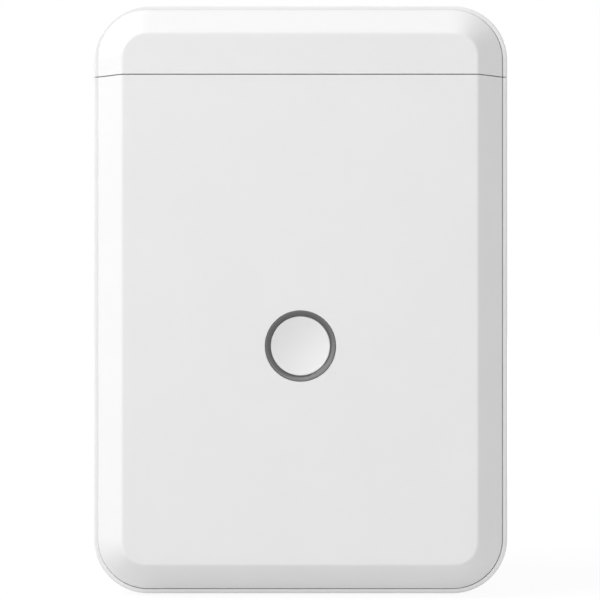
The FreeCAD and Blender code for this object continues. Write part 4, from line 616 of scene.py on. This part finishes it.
def between_rows(grid):
    """Four-sided faces from each row to the next, all the way round."""
    ahead = np.roll(grid, -1, axis=1)
    return np.stack([grid[:-1], ahead[:-1], ahead[1:], grid[1:]], axis=-1).reshape(-1, 4)


def turned_loop(profile):
    """A ring: the profile is a closed loop, so its last row joins its first."""
    points, grid = turned_rows(profile)
    return points, [between_rows(np.vstack([grid, grid[:1]]))]


def with_ends(points, grid, ends):
    """A tube closed at both ends: a fan of triangles joins the first and the last row to a point each."""
    ahead = np.roll(grid, -1, axis=1)
    first = np.full(grid.shape[1], len(points))
    low_fan = np.column_stack([first, ahead[0], grid[0]])
    high_fan = np.column_stack([first + 1, grid[-1], ahead[-1]])
    return np.vstack([points, ends]), [between_rows(grid), low_fan, high_fan]


def turned_knob(profile):
    """A shape closed on its axis, at the heights of the profile's two ends."""
    points, grid = turned_rows(profile)
    return with_ends(points, grid, [(0, 0, profile[0, 1]), (0, 0, profile[-1, 1])])


def along_y(points, middle):
    """The points with their height along +Y, about an axis through middle: (x, y, h) becomes (x, h, -y)."""
    return np.column_stack([points[:, 0] + middle[0], points[:, 2], middle[2] - points[:, 1]])


def copies(placed, blocks):
    """Several placed copies of one shape: the faces of each copy are numbered on from the copy before."""
    count = len(placed[0])
    repeated = [block + copy * count for copy in range(len(placed)) for block in blocks]
    return np.vstack(placed), repeated


def add_piece(name, points, blocks, finishes, body):
    """A smooth mesh with crisp edges, that rides on a body. Each block is an array with a face in a row."""
    mesh = bpy.data.meshes.new(name)
    mesh.from_pydata(points.tolist(), [], [face for block in blocks for face in block.tolist()])
    for material in finishes:
        mesh.materials.append(material)
    mesh.shade_smooth()
    mesh.set_sharp_from_angle(angle=math.radians(CRISP_DEGREES))
    piece = bpy.data.objects.new(name, mesh)
    bpy.context.scene.collection.objects.link(piece)
    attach(piece, body)
    return piece


print("angles round a turned shape:", SIDES)

# %% [markdown]
# The dark ring is a light pipe that sits a little below the face. From the front it shows a band that
# slopes in a little, and a round inner edge that dives beside the button: with light from the upper
# left, that edge is dark on the lit side and shines on the far one. The profile is a loop, from the band
# out to the wall, back behind the panel, round the flange, and forward again along the bore. Its front
# and back are read from the solid's box.

# %% Light ring
RING_OUT = 0.00778
RING_IN = 0.00662
RING_RECESS = 0.00015
RING_SINK = 0.00015
RING_SLOPE = 0.0001
RING_ROUND = 0.0004
PANEL_WALL = 0.002
FLANGE_T = 0.0012
LIP_ROUND = 0.00006


def ring_profile(front, back, flange_r):
    """(radius, depth) round the section: outer wall, flange, back, bore and the rounded way to the face."""
    face = front + RING_SINK
    behind = front - RING_RECESS + PANEL_WALL
    flange_end = behind + FLANGE_T
    lip = arc((RING_OUT - LIP_ROUND, face + LIP_ROUND), LIP_ROUND, -90, 0)
    step = [(RING_OUT, behind), (flange_r, behind), (flange_r, flange_end), (RING_OUT, flange_end)]
    rear = [(RING_OUT, back), (RING_IN, back)]
    edge = arc((RING_IN + RING_ROUND, face + RING_SLOPE + RING_ROUND), RING_ROUND, 180, 270)
    return np.vstack([lip, step, rear, edge])


def fit_ring():
    """The loop turned about the button's axis, in the place of the solid ring."""
    low, high = np.array(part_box("light_ring"))
    middle = (low + high) / 2
    points, blocks = turned_loop(ring_profile(low[1], high[1], high[0] - middle[0]))
    placed = along_y(points, middle)
    ring = add_piece("button_ring", placed, blocks, [finish["ring_grey"]], "case")
    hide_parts("light_ring")
    return ring


ring = fit_ring()
print("faces of the ring:", len(ring.data.polygons))

# %% [markdown]
# The button fills the ring to a hair's breadth, so hardly a shadow shows between them. Its face is a
# shallow bowl, a part of a sphere: with the bowl's half width w and its depth d, the sphere's radius is
# (w w + d d) / (2 d). A small round leads from the bowl's rim to the side, and a flange behind the ring
# keeps the button in.

# %% Button
CAP_R = 0.00657
CAP_EDGE = 0.0002
CAP_DISH = 0.0007
CAP_FLANGE_T = 0.0008
BOWL_ROWS = 24


def cap_profile(front, back, flange_r):
    """(radius, depth) from the middle of the bowl over its rim and down the side to the flange."""
    half = CAP_R - CAP_EDGE
    sphere = (half ** 2 + CAP_DISH ** 2) / (2 * CAP_DISH)
    across = np.linspace(0, half, BOWL_ROWS + 1)[1:-1]
    bowl = np.column_stack([across, front + CAP_DISH - sphere + np.sqrt(sphere ** 2 - across ** 2)])
    rim = arc((half, front + CAP_EDGE), CAP_EDGE, -90, 0)
    flange_front = back - CAP_FLANGE_T
    flange = [(CAP_R, flange_front), (flange_r, flange_front), (flange_r, back)]
    return np.vstack([bowl, rim, flange])


def fit_button():
    """The profile turned about the button's axis, in the place of the solid cap."""
    low, high = np.array(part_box("button_cap"))
    middle = (low + high) / 2
    points, blocks = turned_knob(cap_profile(low[1], high[1], high[0] - middle[0]))
    placed = along_y(points, middle)
    button = add_piece("button_bowl", placed, blocks, [finish["casing_white"]], "button")
    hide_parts("button_cap")
    return button


button = fit_button()
print("faces of the button:", len(button.data.polygons))

# %% [markdown]
# Behind the battery door stand six cells. As solids they are plain rods with a nub. A real cell is a
# steel can in a shrunk plastic sleeve: the sleeve laps over both ends, the flat end is bare steel with a
# pressed ring, and the nub stands in a dark sealing washer. Each run of the profile names its finish,
# and the faces turned from it follow.

# %% The profile of a cell
CELL_R = 0.00515
CELL_L = 0.0445
NUB_R = 0.0019
NUB_H = 0.0008
NUB_EDGE = 0.0003
ROLL_R = 0.0005
LAP = 0.0005
SINK = 0.00008
PRESSED_R = 0.0025
PRESSED_HALF = 0.0004
PRESSED_DEPTH = 4 * SINK
WASHER_R = 0.0024


def cell_runs():
    """Finish and (radius, height) points of each run, from the flat end out and up to the nub's tip."""
    body = CELL_L - NUB_H
    lap_r = CELL_R - ROLL_R - LAP
    inner = PRESSED_R - PRESSED_HALF
    outer = PRESSED_R + PRESSED_HALF
    pressed = [(inner, SINK), (PRESSED_R, PRESSED_DEPTH), (outer, SINK)]
    low_roll = arc((CELL_R - ROLL_R, ROLL_R), ROLL_R, -90, 0)
    high_roll = arc((CELL_R - ROLL_R, body - ROLL_R), ROLL_R, 0, 90)
    sleeve = np.vstack([(lap_r, 0), low_roll, high_roll, (lap_r, body)])
    washer = [(lap_r, body - SINK), (WASHER_R, body - SINK)]
    nub_top = arc((NUB_R - NUB_EDGE, CELL_L - NUB_EDGE), NUB_EDGE, 0, 90)
    nub = np.vstack([(NUB_R, body - SINK), nub_top])
    return [("contact_nickel", pressed + [(lap_r, SINK)]), ("cell_jacket", sleeve),
            ("chip_black", washer), ("contact_nickel", nub)]


runs = cell_runs()
print("points along a cell's profile:", sum(len(points) for _, points in runs))

# %% [markdown]
# The cells stand in two rows of three, and every other one is upside down, because they are wired in
# series. A cell is turned over by half a turn about X, which keeps its faces outward. The rows, columns
# and heights are read from the box of the solids.

# %% Stand the cells in their box
CELL_FINISHES = ["cell_jacket", "contact_nickel", "chip_black"]
TURN_OVER = np.array([1, -1, -1])


def cell_places(low, high):
    """(x, y, whether the nub is up) of the cells: three columns and two rows, by turns up and down."""
    side = (high[0] - low[0]) / 2 - CELL_R
    middle = (high[0] + low[0]) / 2
    rows = (low[1] + CELL_R, high[1] - CELL_R)
    return [(middle + column * side, y, (column + row) % 2 == 1)
            for row, y in enumerate(rows) for column in (-1, 0, 1)]


def stand_cells():
    """One mesh of six turned cells, in the place of the plain rods."""
    low, high = np.array(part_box("batteries"))
    points, blocks = turned_knob(np.vstack([points for _, points in runs]))
    placed = []
    for x, y, nub_up in cell_places(low, high):
        base = high[2] - CELL_L if nub_up else low[2] + CELL_L
        placed.append((points if nub_up else points * TURN_OVER) + (x, y, base))
    all_points, all_blocks = copies(placed, blocks)
    materials = [finish[name] for name in CELL_FINISHES]
    cells = add_piece("cells", all_points, all_blocks, materials, "case")
    row_finish = [CELL_FINISHES.index(name) for name, points in runs for _ in points]
    one_cell = np.repeat(row_finish[1:] + [row_finish[0], row_finish[-1]], SIDES)
    cells.data.polygons.foreach_set("material_index", np.tile(one_cell, len(placed)))
    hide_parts("batteries")
    return cells


cells = stand_cells()
print("faces of the six cells:", len(cells.data.polygons))

# %% [markdown]
# The two halves of the cassette are closed by heat-staked pins: posts of the lower half come up through
# the cover, and a hot tool melts each tip into a low dome. The dome is a piece of a sphere, so its
# profile is one arc from the rim to the top, on a short foot that sinks into the cover.

# %% Staked pins of the cassette
STAKE_R = 0.0011
STAKE_H = 0.00024
STAKE_FOOT = 0.0001
STAKE_INSET = 0.0036


def stake_profile():
    """(radius, height) of a foot and a dome, whose sphere has the radius (R R + H H) / (2 H)."""
    sphere = (STAKE_R ** 2 + STAKE_H ** 2) / (2 * STAKE_H)
    rim = math.degrees(math.acos(STAKE_R / sphere))
    dome = arc((0, STAKE_H - sphere), sphere, rim, 90)[:-1]
    return np.vstack([(STAKE_R, -STAKE_FOOT), dome])


def stake_cassette():
    """A dome near each corner of the cassette's cover."""
    low, high = np.array(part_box("cassette_cover"))
    near = low + STAKE_INSET
    far = high - STAKE_INSET
    points, blocks = turned_knob(stake_profile())
    placed = [points + (x, y, high[2]) for x in (near[0], far[0]) for y in (near[1], far[1])]
    all_points, all_blocks = copies(placed, blocks)
    material = finish["cassette_grey"]
    return add_piece("cassette_stakes", all_points, all_blocks, [material], "case")


stakes = stake_cassette()
print("faces of the stakes:", len(stakes.data.polygons))

# %% [markdown]
# A coil spring presses the print head on the tape. When the lid opens, the arm swings back and squeezes
# the coil, so a stiff one would cut through the arm. A coil is a small circle carried along a helix: the
# helix is (R cos t, R sin t, p t), and the circle lies in the two directions square to its way, one of
# them outward.

# %% Head spring
COIL_R = 0.0016
WIRE_R = 0.000225
COIL_TURNS = 4
STEPS_A_TURN = 48
WIRE_SIDES = 16


def coil(length):
    """Helix plus wire radius times (outward cos u + across sin u), for all steps t and angles u at once."""
    turn = np.linspace(0, 2 * np.pi * COIL_TURNS, COIL_TURNS * STEPS_A_TURN + 1)[:, None]
    rise = (length - 2 * WIRE_R) / (2 * np.pi * COIL_TURNS)
    still = np.zeros_like(turn)
    outward = np.hstack([np.cos(turn), np.sin(turn), still])
    helix = COIL_R * outward + np.hstack([still, still, rise * turn + WIRE_R])
    way = np.hstack([-COIL_R * np.sin(turn), COIL_R * np.cos(turn), still + rise])
    across = np.cross(way / np.linalg.norm(way, axis=1, keepdims=True), outward)
    angle = np.linspace(0, 2 * np.pi, WIRE_SIDES, endpoint=False)[None, :, None]
    tube = helix[:, None] + WIRE_R * (outward[:, None] * np.cos(angle) + across[:, None] * np.sin(angle))
    grid = np.arange(tube.shape[0] * WIRE_SIDES).reshape(-1, WIRE_SIDES)
    return with_ends(tube.reshape(-1, 3), grid, [helix[0], helix[-1]])


def fit_head_spring():
    """The coil between the arm and its post, in the place of the solid spring."""
    low, high = np.array(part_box("head_spring"))
    middle = (low + high) / 2
    points, blocks = coil(high[1] - low[1])
    placed = along_y(points, middle) + (0, low[1], 0)
    spring = add_piece("head_coil", placed, blocks, [finish["steel"]], "case")
    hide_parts("head_spring")
    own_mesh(spring)
    return spring


spring = fit_head_spring()
print("faces of the coil:", len(spring.data.polygons))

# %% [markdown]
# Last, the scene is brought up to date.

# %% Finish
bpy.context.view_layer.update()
